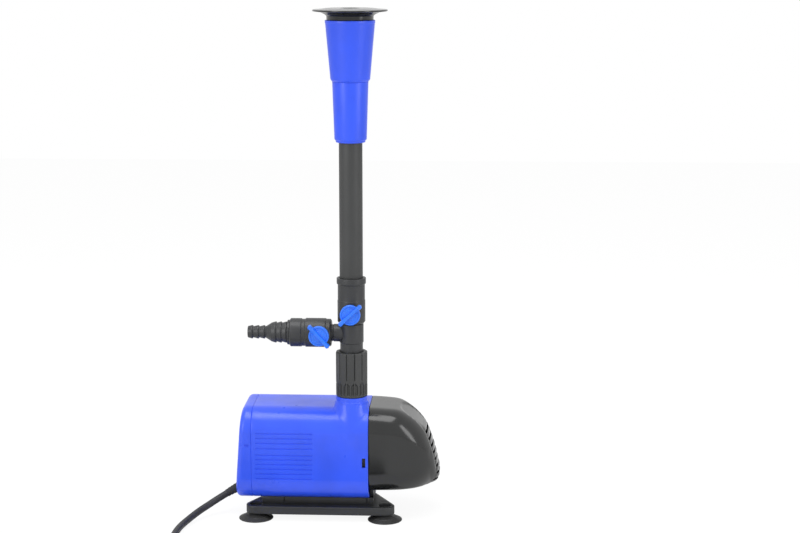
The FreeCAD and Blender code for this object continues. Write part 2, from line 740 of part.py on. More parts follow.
def build_cock_plug(centre, flow, wing):
    """Plug and stem; open when its wing lies along the flow."""
    front = centre + V(0, GAP - PLUG_FRONT, 0)
    plug = rod(front, Y_AXIS, PLUG_R - RUN, PLUG_FRONT + PLUG_BACK - 2 * GAP)
    stem_front = centre + V(0, -KNOB_FACE + KNOB_THICK, 0)
    plug = plug.fuse(rod(stem_front, Y_AXIS, STEM_R, KNOB_FACE - KNOB_THICK - PLUG_FRONT + 1))
    port = rod(centre - flow * (PLUG_R + 1), flow, BRANCH_WATER, 2 * PLUG_R + 2)
    port.rotate(centre, Y_AXIS, wing)
    return plug.cut(port).cut(stem_groove(centre))


def build_stem_seal(centre):
    radius = GROOVE_DEPTH / 2 - 0.02
    middle = centre + V(0, -PLUG_FRONT - GROOVE_AT, 0)
    return Part.makeTorus(STEM_R - GROOVE_DEPTH / 2, radius, middle, Y_AXIS)


def build_knob(centre, wing_angle):
    """Round knob with a tapered wing; wing_angle is counted from +X towards +Z."""
    face = centre + V(0, -KNOB_FACE, 0)
    knob = rod(face, Y_AXIS, KNOB_R, KNOB_THICK)
    half_l = WING_LENGTH / 2
    half_w = WING_WIDTH / 2
    outline = [
        V(-half_l, 0, -half_w * 0.8),
        V(0, 0, -half_w),
        V(half_l, 0, -half_w * 0.8),
        V(half_l, 0, half_w * 0.8),
        V(0, 0, half_w),
        V(-half_l, 0, half_w * 0.8),
    ]
    wing = Part.Face(Part.makePolygon(outline + [outline[0]])).extrude(V(0, WING_HEIGHT + 3, 0))
    wing.translate(V(0, -WING_HEIGHT, 0))
    wing.rotate(V(0, 0, 0), Y_AXIS, -wing_angle)
    wing.translate(face)
    return knob.fuse(wing)


def build_riser_valve_body():
    centre = V(RISER_X, RISER_Y, RISER_COCK_Z)
    bottom = SOCKET_TOP - SOCKET_DEPTH
    body = turned(
        (
            (0, SOCKET_LOW),
            (SOCKET_R - 1.2, SOCKET_LOW),
            (SOCKET_R, SOCKET_LOW + 1.6),
            (SOCKET_R, SOCKET_TOP - COLLAR_HEIGHT),
            (COLLAR_R, SOCKET_TOP - COLLAR_HEIGHT + 0.6),
            (COLLAR_R, SOCKET_TOP),
            (0, SOCKET_TOP),
        ),
        V(RISER_X, RISER_Y, 0),
        Z_AXIS,
    )
    body = body.fuse(rod(centre + V(0, KNOB_THICK + GAP - KNOB_FACE, 0), Y_AXIS, STEM_R + 2.5, 8))
    body = body.cut(rod_z(TEE_R, SOCKET_LOW - 1, TEE_TOP))
    body = body.cut(rod_z(BRANCH_WATER, TEE_TOP - 1, bottom + 1))
    body = body.cut(rod_z(TUBE_R + RUN, bottom, SOCKET_TOP + 1))
    return body.cut(cock_bore(centre))


def build_side_valve_body():
    centre = V(SIDE_COCK_X, RISER_Y, BRANCH_Z)
    length = SIDE_X[1] - SIDE_X[0]
    body = turned(
        (
            (0, 0),
            (SIDE_R - 1, 0),
            (SIDE_R, 1.2),
            (SIDE_R, length - 1.2),
            (SIDE_R - 1, length),
            (0, length),
        ),
        V(SIDE_X[0], RISER_Y, BRANCH_Z),
        X_AXIS,
    )
    body = body.fuse(rod(centre + V(0, KNOB_THICK + GAP - KNOB_FACE, 0), Y_AXIS, STEM_R + 2.5, 8))
    body = body.cut(rod_x(BRANCH_WATER, SIDE_X[0] - 1, SIDE_X[1] + 1, RISER_Y, BRANCH_Z))
    body = body.cut(rod_x(BRANCH_R, SIDE_X[1] - BRANCH_SEAT, SIDE_X[1] + 1, RISER_Y, BRANCH_Z))
    body = body.cut(rod_x(BRANCH_R, SIDE_X[0] - 1, SIDE_X[0] + TAIL_SEAT, RISER_Y, BRANCH_Z))
    return body.cut(cock_bore(centre))


def barbs(start, end, crest, count):
    """Saw-tooth outline of a hose step, rising away from the tip."""
    points = []
    pitch = (end - start) / count
    for index in range(count):
        points.append((crest - TAIL_BARB, start + index * pitch))
        points.append((crest, start + (index + 0.75) * pitch))
        points.append((crest, start + (index + 1) * pitch - 0.1))
    return points


def build_hose_tail():
    outline = [(TAIL_BORE, TAIL_TIP)]
    outline += barbs(TAIL_TIP, TAIL_SMALL_END, TAIL_SMALL_R, 3)
    outline.append((TAIL_SMALL_R - TAIL_BARB, TAIL_SMALL_END))
    outline += barbs(TAIL_LARGE_START, TAIL_FLANGE_X, TAIL_LARGE_R, 3)
    outline += [
        (TAIL_FLANGE_R, TAIL_FLANGE_X),
        (TAIL_FLANGE_R, SIDE_X[0]),
        (BRANCH_R, SIDE_X[0]),
        (BRANCH_R, SIDE_X[0] + TAIL_SEAT),
        (TAIL_BORE, SIDE_X[0] + TAIL_SEAT),
    ]
    return turned(outline, V(0, RISER_Y, BRANCH_Z), X_AXIS)


# --- riser and nozzle -------------------------------------------------------

def build_riser_tube():
    low = SOCKET_TOP - SOCKET_DEPTH + GAP
    tube = rod_z(TUBE_R, low, TUBE_TOP)
    return tube.cut(rod_z(TUBE_R - TUBE_WALL, low - 1, TUBE_TOP + 1))


def build_lower_cone():
    (foot_r, foot_z), (skirt_r, skirt_z), (top_r, top_z) = LOWER_CONE
    stop_top = TUBE_TOP + LOWER_STOP
    return turned(
        (
            (TUBE_R + SEAT, foot_z),
            (foot_r, foot_z),
            (skirt_r, skirt_z),
            (top_r, top_z),
            (CONE_SOCKET_R, top_z),
            (CONE_SOCKET_R, stop_top),
            (LOWER_STOP_R, stop_top),
            (LOWER_STOP_R, TUBE_TOP),
            (TUBE_R + SEAT, TUBE_TOP),
        ),
        V(RISER_X, RISER_Y, 0),
        Z_AXIS,
    )


def build_upper_cone():
    (foot_r, foot_z), (step_r, step_z), (neck_r, neck_z), (lip_r, lip_z) = UPPER_CONE
    spigot_r = CONE_SOCKET_R - SEAT
    shell = turned(
        (
            (spigot_r - 2, foot_z - CONE_SPIGOT),
            (spigot_r, foot_z - CONE_SPIGOT),
            (spigot_r, foot_z),
            (foot_r, foot_z),
            (step_r, step_z),
            (neck_r, neck_z),
            (lip_r, lip_z),
            (lip_r - CONE_WALL, lip_z),
            (step_r - CONE_WALL, step_z + 2),
            (spigot_r - 2, foot_z),
        ),
        V(RISER_X, RISER_Y, 0),
        Z_AXIS,
    )
    hub = rod_z(HUB_R, HUB_Z[0], HUB_Z[1])
    for index in range(3):
        web = box(0, step_r - CONE_WALL / 2, -WEB / 2, WEB / 2, HUB_Z[0], HUB_Z[0] + 8)
        web.rotate(V(0, 0, 0), Z_AXIS, 120 * index)
        web.translate(V(RISER_X, RISER_Y, 0))
        hub = hub.fuse(web)
    return shell.fuse(hub).cut(rod_z(BELL_STEM_R + RUN, HUB_Z[0] - 1, HUB_Z[1] + 1))


def build_bell_disc():
    lip_z = UPPER_CONE[-1][1]
    inside_r = UPPER_CONE[-1][0] - CONE_WALL - 2 * GAP
    return turned(
        (
            (0, BELL_PLUG_Z),
            (BELL_PLUG_R, BELL_PLUG_Z),
            (inside_r, lip_z - 1),
            (inside_r, lip_z + GAP),
            (BELL_NECK_R, lip_z + GAP),
            (BELL_NECK_R, BELL_FLARE_Z),
            (BELL_NECK_R + 2.3, BELL_FLARE_Z + 1.8),
            (BELL_NECK_R + 7, BELL_RIM_Z - 0.6),
            (BELL_RIM_R, BELL_RIM_Z),
            (BELL_RIM_R, BELL_RIM_Z + 1.2),
            (BELL_RIM_R - 6, BELL_TOP - 0.9),
            (BELL_RIM_R - 18, BELL_TOP),
            (0, BELL_TOP),
        ),
        V(RISER_X, RISER_Y, 0),
        Z_AXIS,
    )


def build_bell_stem():
    return rod_z(BELL_STEM_R, STEM_Z, BELL_PLUG_Z)


# --- base and feet ----------------------------------------------------------

def build_base_plate():
    corners = [V(x, y, PLATE_LOW) for x, y in NEAR_FEET + FAR_FEET]
    outline = Part.makePolygon(corners + [corners[0]])
    plate = Part.Face(outline).makeOffset2D(EAR_R).extrude(V(0, 0, PLATE_TOP - PLATE_LOW))
    for x, y in NEAR_FEET + FAR_FEET:
        plate = plate.cut(rod_z(CUP_NECK_R + SEAT, PLATE_LOW - 1, PLATE_TOP, x, y))
        plate = plate.cut(rod_z(EAR_HOLE_R, CUP_HEAD_Z[0], PLATE_TOP + 1, x, y))
    for x in BASE_SCREWS_X:
        plate = plate.cut(rod_z(SCREW_R + SEAT, PLATE_LOW - 1, PLATE_TOP + 1, x, 0))
        plate = plate.cut(rod_z(SCREW_HEAD_R + SEAT, PLATE_LOW - 1, PLATE_LOW + SCREW_HEAD + 0.6, x, 0))
    return plate


def build_cradle():
    block = box(CRADLE_X[0], CRADLE_X[1], -CRADLE_HALF_Y, CRADLE_HALF_Y, PLATE_TOP, CRADLE_TOP)
    block = block.fuse(box(STOP_X, CRADLE_X[1], -STOP_HALF_Y, STOP_HALF_Y, PLATE_TOP, STOP_TOP))
    block = block.cut(housing_prism(CRADLE_X[0] - 1, FRONT_X + 0.05, -0.05))
    for x in BASE_SCREWS_X:
        block = block.cut(rod_z(SCREW_R + SEAT, PLATE_TOP - 1, CRADLE_TOP + 1, x, 0))
    far_edge = FAR_FEET[0][1] + EAR_R - 12
    return block.cut(box(CRADLE_X[0] - 1, CRADLE_X[1] + 1, far_edge, 60, PLATE_TOP - 1, STOP_TOP + 1))


def build_base_screws():
    screws = []
    for x in BASE_SCREWS_X:
        top = PLATE_LOW + SCREW_HEAD + 0.6
        head = rod_z(SCREW_HEAD_R, top - SCREW_HEAD, top, x, 0)
        screws.append(head.fuse(rod_z(SCREW_R, top - SCREW_HEAD, SCREW_TOP, x, 0)))
    return Part.makeCompound(screws)


def build_suction_cups():
    cups = []
    for x, y in NEAR_FEET + FAR_FEET:
        cups.append(
            turned(
                (
                    (0, CUP_HOLLOW),
                    (8, CUP_HOLLOW - 0.5),
                    (CUP_R - CUP_RIM, 0),
                    (CUP_R, 0),
                    (CUP_R, 0.8),
                    (13, 3.2),
                    (8, 4.8),
                    (CUP_NECK_R + 2, PLATE_LOW),
                    (CUP_NECK_R, PLATE_LOW),
                    (CUP_NECK_R, CUP_HEAD_Z[0]),
                    (CUP_HEAD_R, CUP_HEAD_Z[0]),
                    (CUP_HEAD_R - 1.2, CUP_HEAD_Z[1]),
                    (0, CUP_HEAD_Z[1]),
                ),
                V(x, y, 0),
                Z_AXIS,
            )
        )
    return Part.makeCompound(cups)


# --- cord -------------------------------------------------------------------

def gland_direction():
    down = math.radians(GLAND_DOWN)
    aside = math.radians(GLAND_ASIDE)
    level = math.cos(down)
    return V(-level * math.cos(aside), -level * math.sin(aside), -math.sin(down))


def gland_bore():
    inside = GLAND_AT + V(GLAND_INSIDE, 0, 0)
    straight = rod(inside, -X_AXIS, GLAND_R, GLAND_INSIDE)
    straight = straight.fuse(rod(inside + X_AXIS, -X_AXIS, GLAND_FLANGE_R, GLAND_FLANGE + 1))
    ball = Part.makeSphere(GLAND_R, GLAND_AT)
    return straight.fuse(ball).fuse(rod(GLAND_AT, gland_direction(), GLAND_R, GLAND_R))


def build_gland():
    """Rubber strain relief: a flange inside the rear wall, then a drooping taper."""
    inside = GLAND_AT + V(GLAND_INSIDE, 0, 0)
    neck = rod(inside, -X_AXIS, GLAND_R, GLAND_INSIDE)
    flange = rod(inside, -X_AXIS, GLAND_FLANGE_R, GLAND_FLANGE)
    ball = Part.makeSphere(GLAND_R, GLAND_AT)
    taper = Part.makeCone(GLAND_R, GLAND_TIP_R, GLAND_LENGTH, GLAND_AT, gland_direction())
    return neck.fuse(flange).fuse(ball).fuse(taper)


def tube_along(points, radius, name):
    """A round tube along straight runs joined by tangent arcs."""
    edges = []
    previous = points[0]
    for before, corner, after in zip(points, points[1:], points[2:]):
        incoming = corner - before
        outgoing = after - corner
        shorter = min(incoming.Length, outgoing.Length)
        half_turn = incoming.getAngle(outgoing) / 2
        arc_radius = 0.45 * shorter / math.tan(half_turn)
        print(name, "arc radius", round(arc_radius, 1))
        incoming.normalize()
        outgoing.normalize()
        start = corner - incoming * (0.45 * shorter)
        end = corner + outgoing * (0.45 * shorter)
        inward = outgoing - incoming
        inward.normalize()
        middle = corner + inward * (arc_radius / math.cos(half_turn) - arc_radius)
        edges.append(Part.LineSegment(previous, start).toShape())
        edges.append(Part.Arc(start, middle, end).toShape())
        previous = end
    edges.append(Part.LineSegment(previous, points[-1]).toShape())
    path = Part.Wire(edges)
    start_direction = points[1] - points[0]
    circle = Part.Wire(Part.makeCircle(radius, points[0], start_direction))
    tube = path.makePipeShell([circle], True, False)
    expected = math.pi * radius * radius * path.Length
    print(name, "length", round(path.Length, 1), "volume share", round(tube.Volume / expected, 4))
    return tube


def stadium(radius, low, high):
    """A bar with round ends, lying along the hank's runs."""
    x, y = HANK_CENTRE
    half = HANK_RUN / 2
    bar = box(x - half, x + half, y - radius, y + radius, low, high)
    for end in (x - half, x + half):
        bar = bar.fuse(rod_z(radius, low, high, end, y))
    return bar.removeSplitter()


def hank_ring():
    """The stored turns, wound as a long loop."""
    half = HANK_COLUMNS * CORD_R
    outer = stadium(HANK_MEAN_R + half, 0, HANK_TOP)
    return outer.cut(stadium(HANK_MEAN_R - half, -1, HANK_TOP + 1))


def largest_solid(shape):
    return max(shape.Solids, key=lambda solid: solid.Volume)


def build_cord():
    gland_tip = GLAND_AT + gland_direction() * GLAND_LENGTH
    first = gland_tip + gland_direction() * CORD_FIRST
    tube = tube_along([gland_tip, first] + [V(*point) for point in CORD_ROUTE], CORD_R, "cord")
    return largest_solid(tube.cut(hank_ring()).cut(build_gland()))


def build_cord_tail():
    plug = V(PLUG_X[0], PLUG_Y, PLUG_Z)
    points = [V(*point) for point in TAIL_ROUTE] + [plug]
    tube = tube_along(points, CORD_R, "cord tail")
    return largest_solid(tube.cut(hank_ring()).cut(build_plug()))


def build_coil_tie():
    """Band round the run of stored turns that lies next to the pump."""
    x, y = HANK_CENTRE
    half = HANK_COLUMNS * CORD_R + TIE_THICK
    run_y = y + HANK_MEAN_R
    outer = box(x - TIE_HALF, x + TIE_HALF, run_y - half, run_y + half, 0, HANK_TOP + TIE_THICK)
    return outer.cut(hank_ring())


def build_plug():
    """Two-pin earthed mains plug, lying within the loop with its pins towards +X."""
    length = PLUG_X[1] - PLUG_X[0]
    return turned(
        (
            (0, 0),
            (CORD_R + 1, 0),
            (CORD_R + 2.5, PLUG_SLEEVE),
            (PLUG_BODY_R - 5, PLUG_SLEEVE + 5),
            (PLUG_BODY_R, PLUG_SLEEVE + 12),
            (PLUG_BODY_R, length),
            (0, length),
        ),
        V(PLUG_X[0], PLUG_Y, PLUG_Z),
        X_AXIS,
    )


def build_plug_pins():
    half = PLUG_PIN_SPACING / 2
    pins = []
    for side in (-1, 1):
        y = PLUG_Y + side * half
        pins.append(rod_x(PLUG_PIN_R, PLUG_X[1], PLUG_X[1] + PLUG_PIN_LENGTH, y, PLUG_Z))
    return Part.makeCompound(pins)


def main():
    os.makedirs("parts", exist_ok=True)
    save("housing", build_housing())
    save("rear_cover", build_rear_cover())
    save("rear_cover_screws", build_rear_screws())
    save("intake_cover", build_intake_cover())
    save("filter_sponge", build_sponge())

    core = build_stator_core()
    windings = [build_winding(side) for side in (1, -1)]
    save("motor_case", build_motor_case())
    save("rotor_can", build_rotor_can())
    save("stator_core", core)
    save("upper_winding", windings[0])
    save("lower_winding", windings[1])
    save("potting_resin", build_potting(core, windings))
    save("shaft", build_shaft())
    rear_seat = CAN_REAR + CAN_WALL
    save("rear_bush", build_bush(rear_seat, rear_seat + BUSH_LENGTH - 1))
    save("front_bush", build_bush(CHAMBER_FRONT - 2, CHAMBER_FRONT + COVER_THICK))
    save("rotor_magnet", build_rotor_magnet())
    save("rotor_sleeve", build_rotor_sleeve())
    save("impeller", build_impeller())

    save("volute", build_volute())
    save("chamber_cover", build_chamber_cover())
    save("chamber_seal", build_chamber_seal())
    save("outlet_gasket", build_gasket())
    save("union_nut", build_union_nut())
    save("tee", build_tee())

    riser_cock = V(RISER_X, RISER_Y, RISER_COCK_Z)
    side_cock = V(SIDE_COCK_X, RISER_Y, BRANCH_Z)
    save("riser_valve_body", build_riser_valve_body())
    save("riser_valve_plug", build_cock_plug(riser_cock, Z_AXIS, 90 - RISER_WING))
    save("riser_valve_seal", build_stem_seal(riser_cock))
    save("riser_valve_knob", build_knob(riser_cock, RISER_WING))
    save("side_valve_body", build_side_valve_body())
    save("side_valve_plug", build_cock_plug(side_cock, X_AXIS, -SIDE_WING))
    save("side_valve_seal", build_stem_seal(side_cock))
    save("side_valve_knob", build_knob(side_cock, SIDE_WING))
    save("hose_tail", build_hose_tail())

    save("riser_tube", build_riser_tube())
    save("lower_cone", build_lower_cone())
    save("upper_cone", build_upper_cone())
    save("bell_disc", build_bell_disc())
    save("bell_stem", build_bell_stem())

    save("base_plate", build_base_plate())
    save("cradle", build_cradle())
    save("base_screws", build_base_screws())
    save("suction_cups", build_suction_cups())

    save("cord_gland", build_gland())
    save("cord", build_cord())
    save("cord_coil", hank_ring())
    save("coil_tie", build_coil_tie())
    save("cord_tail", build_cord_tail())
    save("plug_body", build_plug())
    save("plug_pins", build_plug_pins())


main()
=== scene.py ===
"""Looks of a fountain pump with a valve tee, a riser and a water-bell nozzle."""

import logging
import math
from dataclasses import dataclass
from enum import Enum
from typing import Callable, Iterable, Sequence

import bmesh
import bpy
from mathutils import Matrix, Vector


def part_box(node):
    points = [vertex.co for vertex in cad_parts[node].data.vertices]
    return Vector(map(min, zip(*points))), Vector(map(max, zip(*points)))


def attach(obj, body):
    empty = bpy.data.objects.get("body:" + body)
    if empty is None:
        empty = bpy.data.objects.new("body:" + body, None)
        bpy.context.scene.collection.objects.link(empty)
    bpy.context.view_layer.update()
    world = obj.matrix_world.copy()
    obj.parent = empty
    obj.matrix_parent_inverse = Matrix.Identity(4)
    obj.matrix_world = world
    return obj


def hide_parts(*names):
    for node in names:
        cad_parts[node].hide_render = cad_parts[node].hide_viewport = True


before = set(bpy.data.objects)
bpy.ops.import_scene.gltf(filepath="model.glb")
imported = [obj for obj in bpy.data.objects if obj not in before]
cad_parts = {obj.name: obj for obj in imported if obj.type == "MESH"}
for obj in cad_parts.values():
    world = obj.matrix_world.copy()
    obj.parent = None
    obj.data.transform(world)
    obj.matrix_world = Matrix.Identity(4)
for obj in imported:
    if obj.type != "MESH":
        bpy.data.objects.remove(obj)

LOG = logging.getLogger("pump")
MM = 0.001
Point = Sequence[float]
Colour = tuple[float, float, float]

# The pieces are drawn in millimetres about the rotor's plane.
HOUSING_LOW, HOUSING_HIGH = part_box("housing")
DATUM_Y = (HOUSING_LOW.y + HOUSING_HIGH.y) / 2 / MM
TUBE_LOW, TUBE_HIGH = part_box("riser_tube")
RISER = ((TUBE_LOW.x + TUBE_HIGH.x) / 2 / MM, (TUBE_LOW.y + TUBE_HIGH.y) / 2 / MM - DATUM_Y)


# --- shader maths -------------------------------------------------------------

class Field:
    """A number or colour that varies over a surface, for sums written in Python."""

    def __init__(self, graph: "Graph", socket: bpy.types.NodeSocket) -> None:
        """Wraps an output socket of one of the graph's nodes."""
        self.graph = graph
        self.socket = socket

    def _sum(self, operation: str, left: object, right: object) -> "Field":
        """Adds one Math node for a sum of two values."""
        made = self.graph.node("ShaderNodeMath", {"operation": operation}, {0: left, 1: right})
        return Field(self.graph, made.outputs[0])

    def __add__(self, other: object) -> "Field":
        """Sum."""
        return self._sum("ADD", self, other)

    __radd__ = __add__

    def __sub__(self, other: object) -> "Field":
        """Difference."""
        return self._sum("SUBTRACT", self, other)

    def __rsub__(self, other: object) -> "Field":
        """Difference from a number."""
        return self._sum("SUBTRACT", other, self)

    def __mul__(self, other: object) -> "Field":
        """Product."""
        return self._sum("MULTIPLY", self, other)

    __rmul__ = __mul__

    def above(self, low: float, high: float) -> "Field":
        """Smooth step.

        Args:
            low: value at which the step starts.
            high: value from which it is one.

        Returns:
            A field from zero to one.
        """
        settings = {"interpolation_type": "SMOOTHSTEP"}
        sockets = {"Value": self, "From Min": low, "From Max": high}
        return Field(self.graph, self.graph.node("ShaderNodeMapRange", settings, sockets).outputs[0])


class Graph:
    """The nodes of one material."""

    def __init__(self, name: str) -> None:
        """Starts a material with one Principled shader."""
        self.material = bpy.data.materials.new(name)
        self.material.use_nodes = True
        self.tree = self.material.node_tree
        self.tree.nodes.clear()
        self.shader = self.node("ShaderNodeBsdfPrincipled", {}, {})
        self.output = self.node("ShaderNodeOutputMaterial", {}, {"Surface": self.shader.outputs[0]})
        self.place = self.node("ShaderNodeTexCoord", {}, {}).outputs["Object"]

    def node(self, kind: str, settings: dict, sockets: dict) -> bpy.types.Node:
        """Adds a node.

        Args:
            kind: the node's type.
            settings: properties set first; "stops" gives a ramp its stops.
            sockets: values, fields or sockets for its inputs, by name or number.

        Returns:
            The node.
        """
        made = self.tree.nodes.new(kind)
        for key, value in settings.items():
            if key == "stops":
                for index, (at, colour) in enumerate(value):
                    points = made.color_ramp.elements
                    stop = points[index] if index < len(points) else points.new(at)
                    stop.position, stop.color = at, (*colour, 1)
            else:
                setattr(made, key, value)
        for key, value in sockets.items():
            self.feed(made.inputs[key], value)
        return made

    def feed(self, socket: bpy.types.NodeSocket, value: object) -> None:
        """Gives one socket a link, a field or a plain value."""
        if isinstance(value, Field):
            value = value.socket
        if isinstance(value, bpy.types.NodeSocket):
            self.tree.links.new(value, socket)
        else:
            socket.default_value = value

    def set(self, **values: object) -> None:
        """Sets sockets of the Principled shader, with _ for a space in their names."""
        for key, value in values.items():
            self.feed(self.shader.inputs[key.replace("_", " ")], value)

    def spot(self, stretch: Point = (1, 1, 1)) -> bpy.types.NodeSocket:
        """Object coordinates in millimetres, stretched along the axes."""
        scale = tuple(part / MM for part in stretch)
        made = self.node("ShaderNodeVectorMath", {"operation": "MULTIPLY"}, {0: self.place, 1: scale})
        return made.outputs[0]

    def noise(self, size: float, detail: float = 3.0, stretch: Point = (1, 1, 1)) -> Field:
        """Soft noise.

        Args:
            size: millimetres from one cloud to the next.
            detail: octaves of finer noise on it.
            stretch: factors of the coordinates, under one to draw it out.

        Returns:
            A field around one half.
        """
        sockets = {"Vector": self.spot(stretch), "Scale": 1 / size, "Detail": detail}
        return Field(self, self.node("ShaderNodeTexNoise", {}, sockets).outputs[0])

    def cells(self, size: float, feature: str = "F1") -> Field:
        """Distances within cells of a size in millimetres."""
        sockets = {"Vector": self.spot(), "Scale": 1 / size}
        return Field(self, self.node("ShaderNodeTexVoronoi", {"feature": feature}, sockets).outputs[0])

    def bands(self, pitch: float, along: str) -> Field:
        """Sine bands of a pitch in millimetres along X, Y or Z."""
        settings = {"bands_direction": along}
        sockets = {"Vector": self.spot(), "Scale": math.pi / 10 / pitch, "Distortion": 0.4}
        return Field(self, self.node("ShaderNodeTexWave", settings, sockets).outputs[1])

    def blend(self, share: object, low: Colour, high: object) -> bpy.types.NodeSocket:
        """Colour between two others."""
        sockets = {0: share, 6: (*low, 1) if isinstance(low, tuple) else low}
        sockets[7] = (*high, 1) if isinstance(high, tuple) else high
        return self.node("ShaderNodeMix", {"data_type": "RGBA"}, sockets).outputs[2]

    def bump(self, height: Field, depth: float) -> None:
        """Adds relief of a depth in millimetres under the relief set before."""
        sockets = {"Height": height, "Distance": depth * MM, "Strength": 1.0}
        before = self.shader.inputs["Normal"].links
        if before:
            sockets["Normal"] = before[0].from_socket
        self.set(Normal=self.node("ShaderNodeBump", {}, sockets).outputs[0])


def linear(colour: Colour) -> Colour:
    """Turns display values from 0 to 255 into linear ones."""
    shares = [part / 255 for part in colour]
    return tuple(s / 12.92 if s <= 0.04045 else ((s + 0.055) / 1.055) ** 2.4 for s in shares)


def shade(colour: Colour, factor: float) -> Colour:
    """A colour made lighter or darker by a factor."""
    return tuple(min(1.0, part * factor) for part in colour)


# --- finishes -----------------------------------------------------------------

@dataclass(frozen=True)
class Finish:
    """What every finish has: a record slot, a display colour and a roughness."""

    name: str
    slot: str
    colour: Colour
    roughness: float = 0.4

    def paint(self, graph: Graph) -> None:
        """Sets the colour and roughness; finishes below add their own detail."""
        graph.set(Base_Color=(*linear(self.colour), 1), Roughness=self.roughness)

    def material(self) -> bpy.types.Material:
        """The finish's material, made once."""
        found = bpy.data.materials.get(self.name)
        if found is None:
            graph = Graph(self.name)
            self.paint(graph)
            found = graph.material
        return found


@dataclass(frozen=True)
class MouldedPlastic(Finish):
    """Injection-moulded plastic: flow clouds, spark-eroded grain, fine handling marks."""

    spread: float = 0.07
    grain: float = 0.8
    grain_depth: float = 0.004
    ripple: float = 0.02
    scuffs: float = 0.5

    def paint(self, graph: Graph) -> None:
        """Mixes clouds into the colour, and scratches and grain into the gloss."""
        base = linear(self.colour)
        clouds = graph.noise(34, 4, (1, 1, 0.6))
        specks = graph.noise(1.1, 2).above(0.62, 0.8)
        tone = graph.blend(
            clouds.above(0.3, 0.7), shade(base, 1 - self.spread), shade(base, 1 + self.spread),
        )
        scratches = graph.noise(0.5, 2, (0.05, 1, 1.3)).above(0.66, 0.74)
        places = graph.noise(22, 2).above(0.5, 0.68)
        marks = scratches * places * self.scuffs
        tone = graph.blend(marks * 0.35 + specks * 0.03, tone, shade(base, 1.6))
        graph.set(Base_Color=tone, Specular_IOR_Level=0.5)
        haze = graph.noise(12, 3)
        graph.set(Roughness=haze * 0.12 + (self.roughness - 0.06) + marks * 0.2 + specks * 0.05)
        graph.bump(graph.noise(9, 2), self.ripple)
        graph.bump(graph.noise(self.grain, 2), self.grain_depth)
        graph.bump(marks, -0.01)


@dataclass(frozen=True)
class SoftRubber(Finish):
    """Moulded rubber or PVC: dull, with a pale bloom in its hollows and a fine pebble."""

    bloom: float = 0.22
    pebble: float = 0.6

    def paint(self, graph: Graph) -> None:
        """Lays bloom over the base colour and roughens it."""
        base = linear(self.colour)
        patches = graph.noise(7, 5).above(0.45, 0.72)
        streaks = graph.noise(1.4, 3, (1, 1, 0.25)).above(0.4, 0.7)
        tone = graph.blend(patches * self.bloom + streaks * 0.08, base, shade(base, 2.3))
        graph.set(Base_Color=tone, Specular_IOR_Level=0.35)
        graph.set(Roughness=patches * 0.1 + self.roughness)
        graph.bump(graph.cells(self.pebble), 0.02)
        graph.bump(graph.noise(3, 3), 0.04)


@dataclass(frozen=True)
class CordSheath(Finish):
    """Extruded rubber sheath: draw lines along it and dust."""

    def paint(self, graph: Graph) -> None:
        """Fine streaks and a slightly uneven skin."""
        base = linear(self.colour)
        dust = graph.noise(5, 4).above(0.42, 0.75)
        lines = graph.noise(0.5, 2, (1, 0.2, 1))
        tone = graph.blend(dust * 0.3 + lines * 0.1, base, shade(base, 2.2))
        graph.set(Base_Color=tone, Specular_IOR_Level=0.4)
        graph.set(Roughness=dust * 0.15 + lines * 0.08 + self.roughness)
        graph.bump(graph.noise(1.6, 3), 0.03)
        graph.bump(lines, 0.012)


@dataclass(frozen=True)
class TurnedMetal(Finish):
    """Turned or rolled metal with fine tool lines and stains."""

    along: str = "X"
    pitch: float = 0.3

    def paint(self, graph: Graph) -> None:
        """Metal with tool lines in its relief and stains in its gloss."""
        base = linear(self.colour)
        stain = graph.noise(4, 4).above(0.4, 0.75)
        lines = graph.bands(self.pitch, self.along)
        graph.set(Base_Color=graph.blend(stain * 0.5, base, shade(base, 0.72)), Metallic=1.0)
        graph.set(Roughness=stain * 0.14 + lines * 0.06 + self.roughness)
        graph.bump(lines, 0.006)


@dataclass(frozen=True)
class StackedSteel(Finish):
    """A core of thin steel sheets stacked along X, with varnish between them."""

    def paint(self, graph: Graph) -> None:
        """Alternates bright edges and dark varnish."""
        base = linear(self.colour)
        sheets = graph.bands(0.5, "X")
        rust = graph.noise(6, 5).above(0.58, 0.8)
        tone = graph.blend(sheets, shade(base, 0.45), base)
        graph.set(Base_Color=graph.blend(rust * 0.4, tone, (0.12, 0.05, 0.02)), Metallic=0.85)
        graph.set(Roughness=sheets * -0.15 + rust * 0.2 + self.roughness)
        graph.bump(sheets, 0.05)


@dataclass(frozen=True)
class WoundCopper(Finish):
    """Enamelled wire in close turns."""

    def paint(self, graph: Graph) -> None:
        """Round wires side by side, each a little different, with painted shade darkening the grooves between
        the turns.
        """
        base = linear(self.colour)
        wire_bands_and_shade = graph.bands(0.42, "Z")
        batch = graph.noise(1.2, 2)
        # painted shade: the grooves between the turns are darkened to about a third of the copper colour
        tone = graph.blend(wire_bands_and_shade, shade(base, 0.35), base)
        graph.set(Base_Color=graph.blend(batch * 0.3, tone, shade(base, 1.5)), Metallic=0.9)
        graph.set(Coat_Weight=0.5, Roughness=wire_bands_and_shade * -0.1 + self.roughness)
        graph.bump(wire_bands_and_shade, 0.15)


@dataclass(frozen=True)
class OpenSponge(Finish):
    """Reticulated filter foam with open pores."""

    pore: float = 1.3

    def paint(self, graph: Graph) -> None:
        """Painted shade in the sunk pores, darker than the paler struts between them."""
        base = linear(self.colour)
        depth = graph.cells(self.pore)
        coarse = graph.noise(5, 3)
        # painted shade: the colour falls to a quarter of the foam's own colour in the sunk pores
        pore_shade = (depth * 1.4 + coarse * 0.4).above(0.35, 0.9)
        graph.set(Base_Color=graph.blend(pore_shade, shade(base, 0.25), base), Roughness=0.95)
        graph.bump(depth, 0.9)


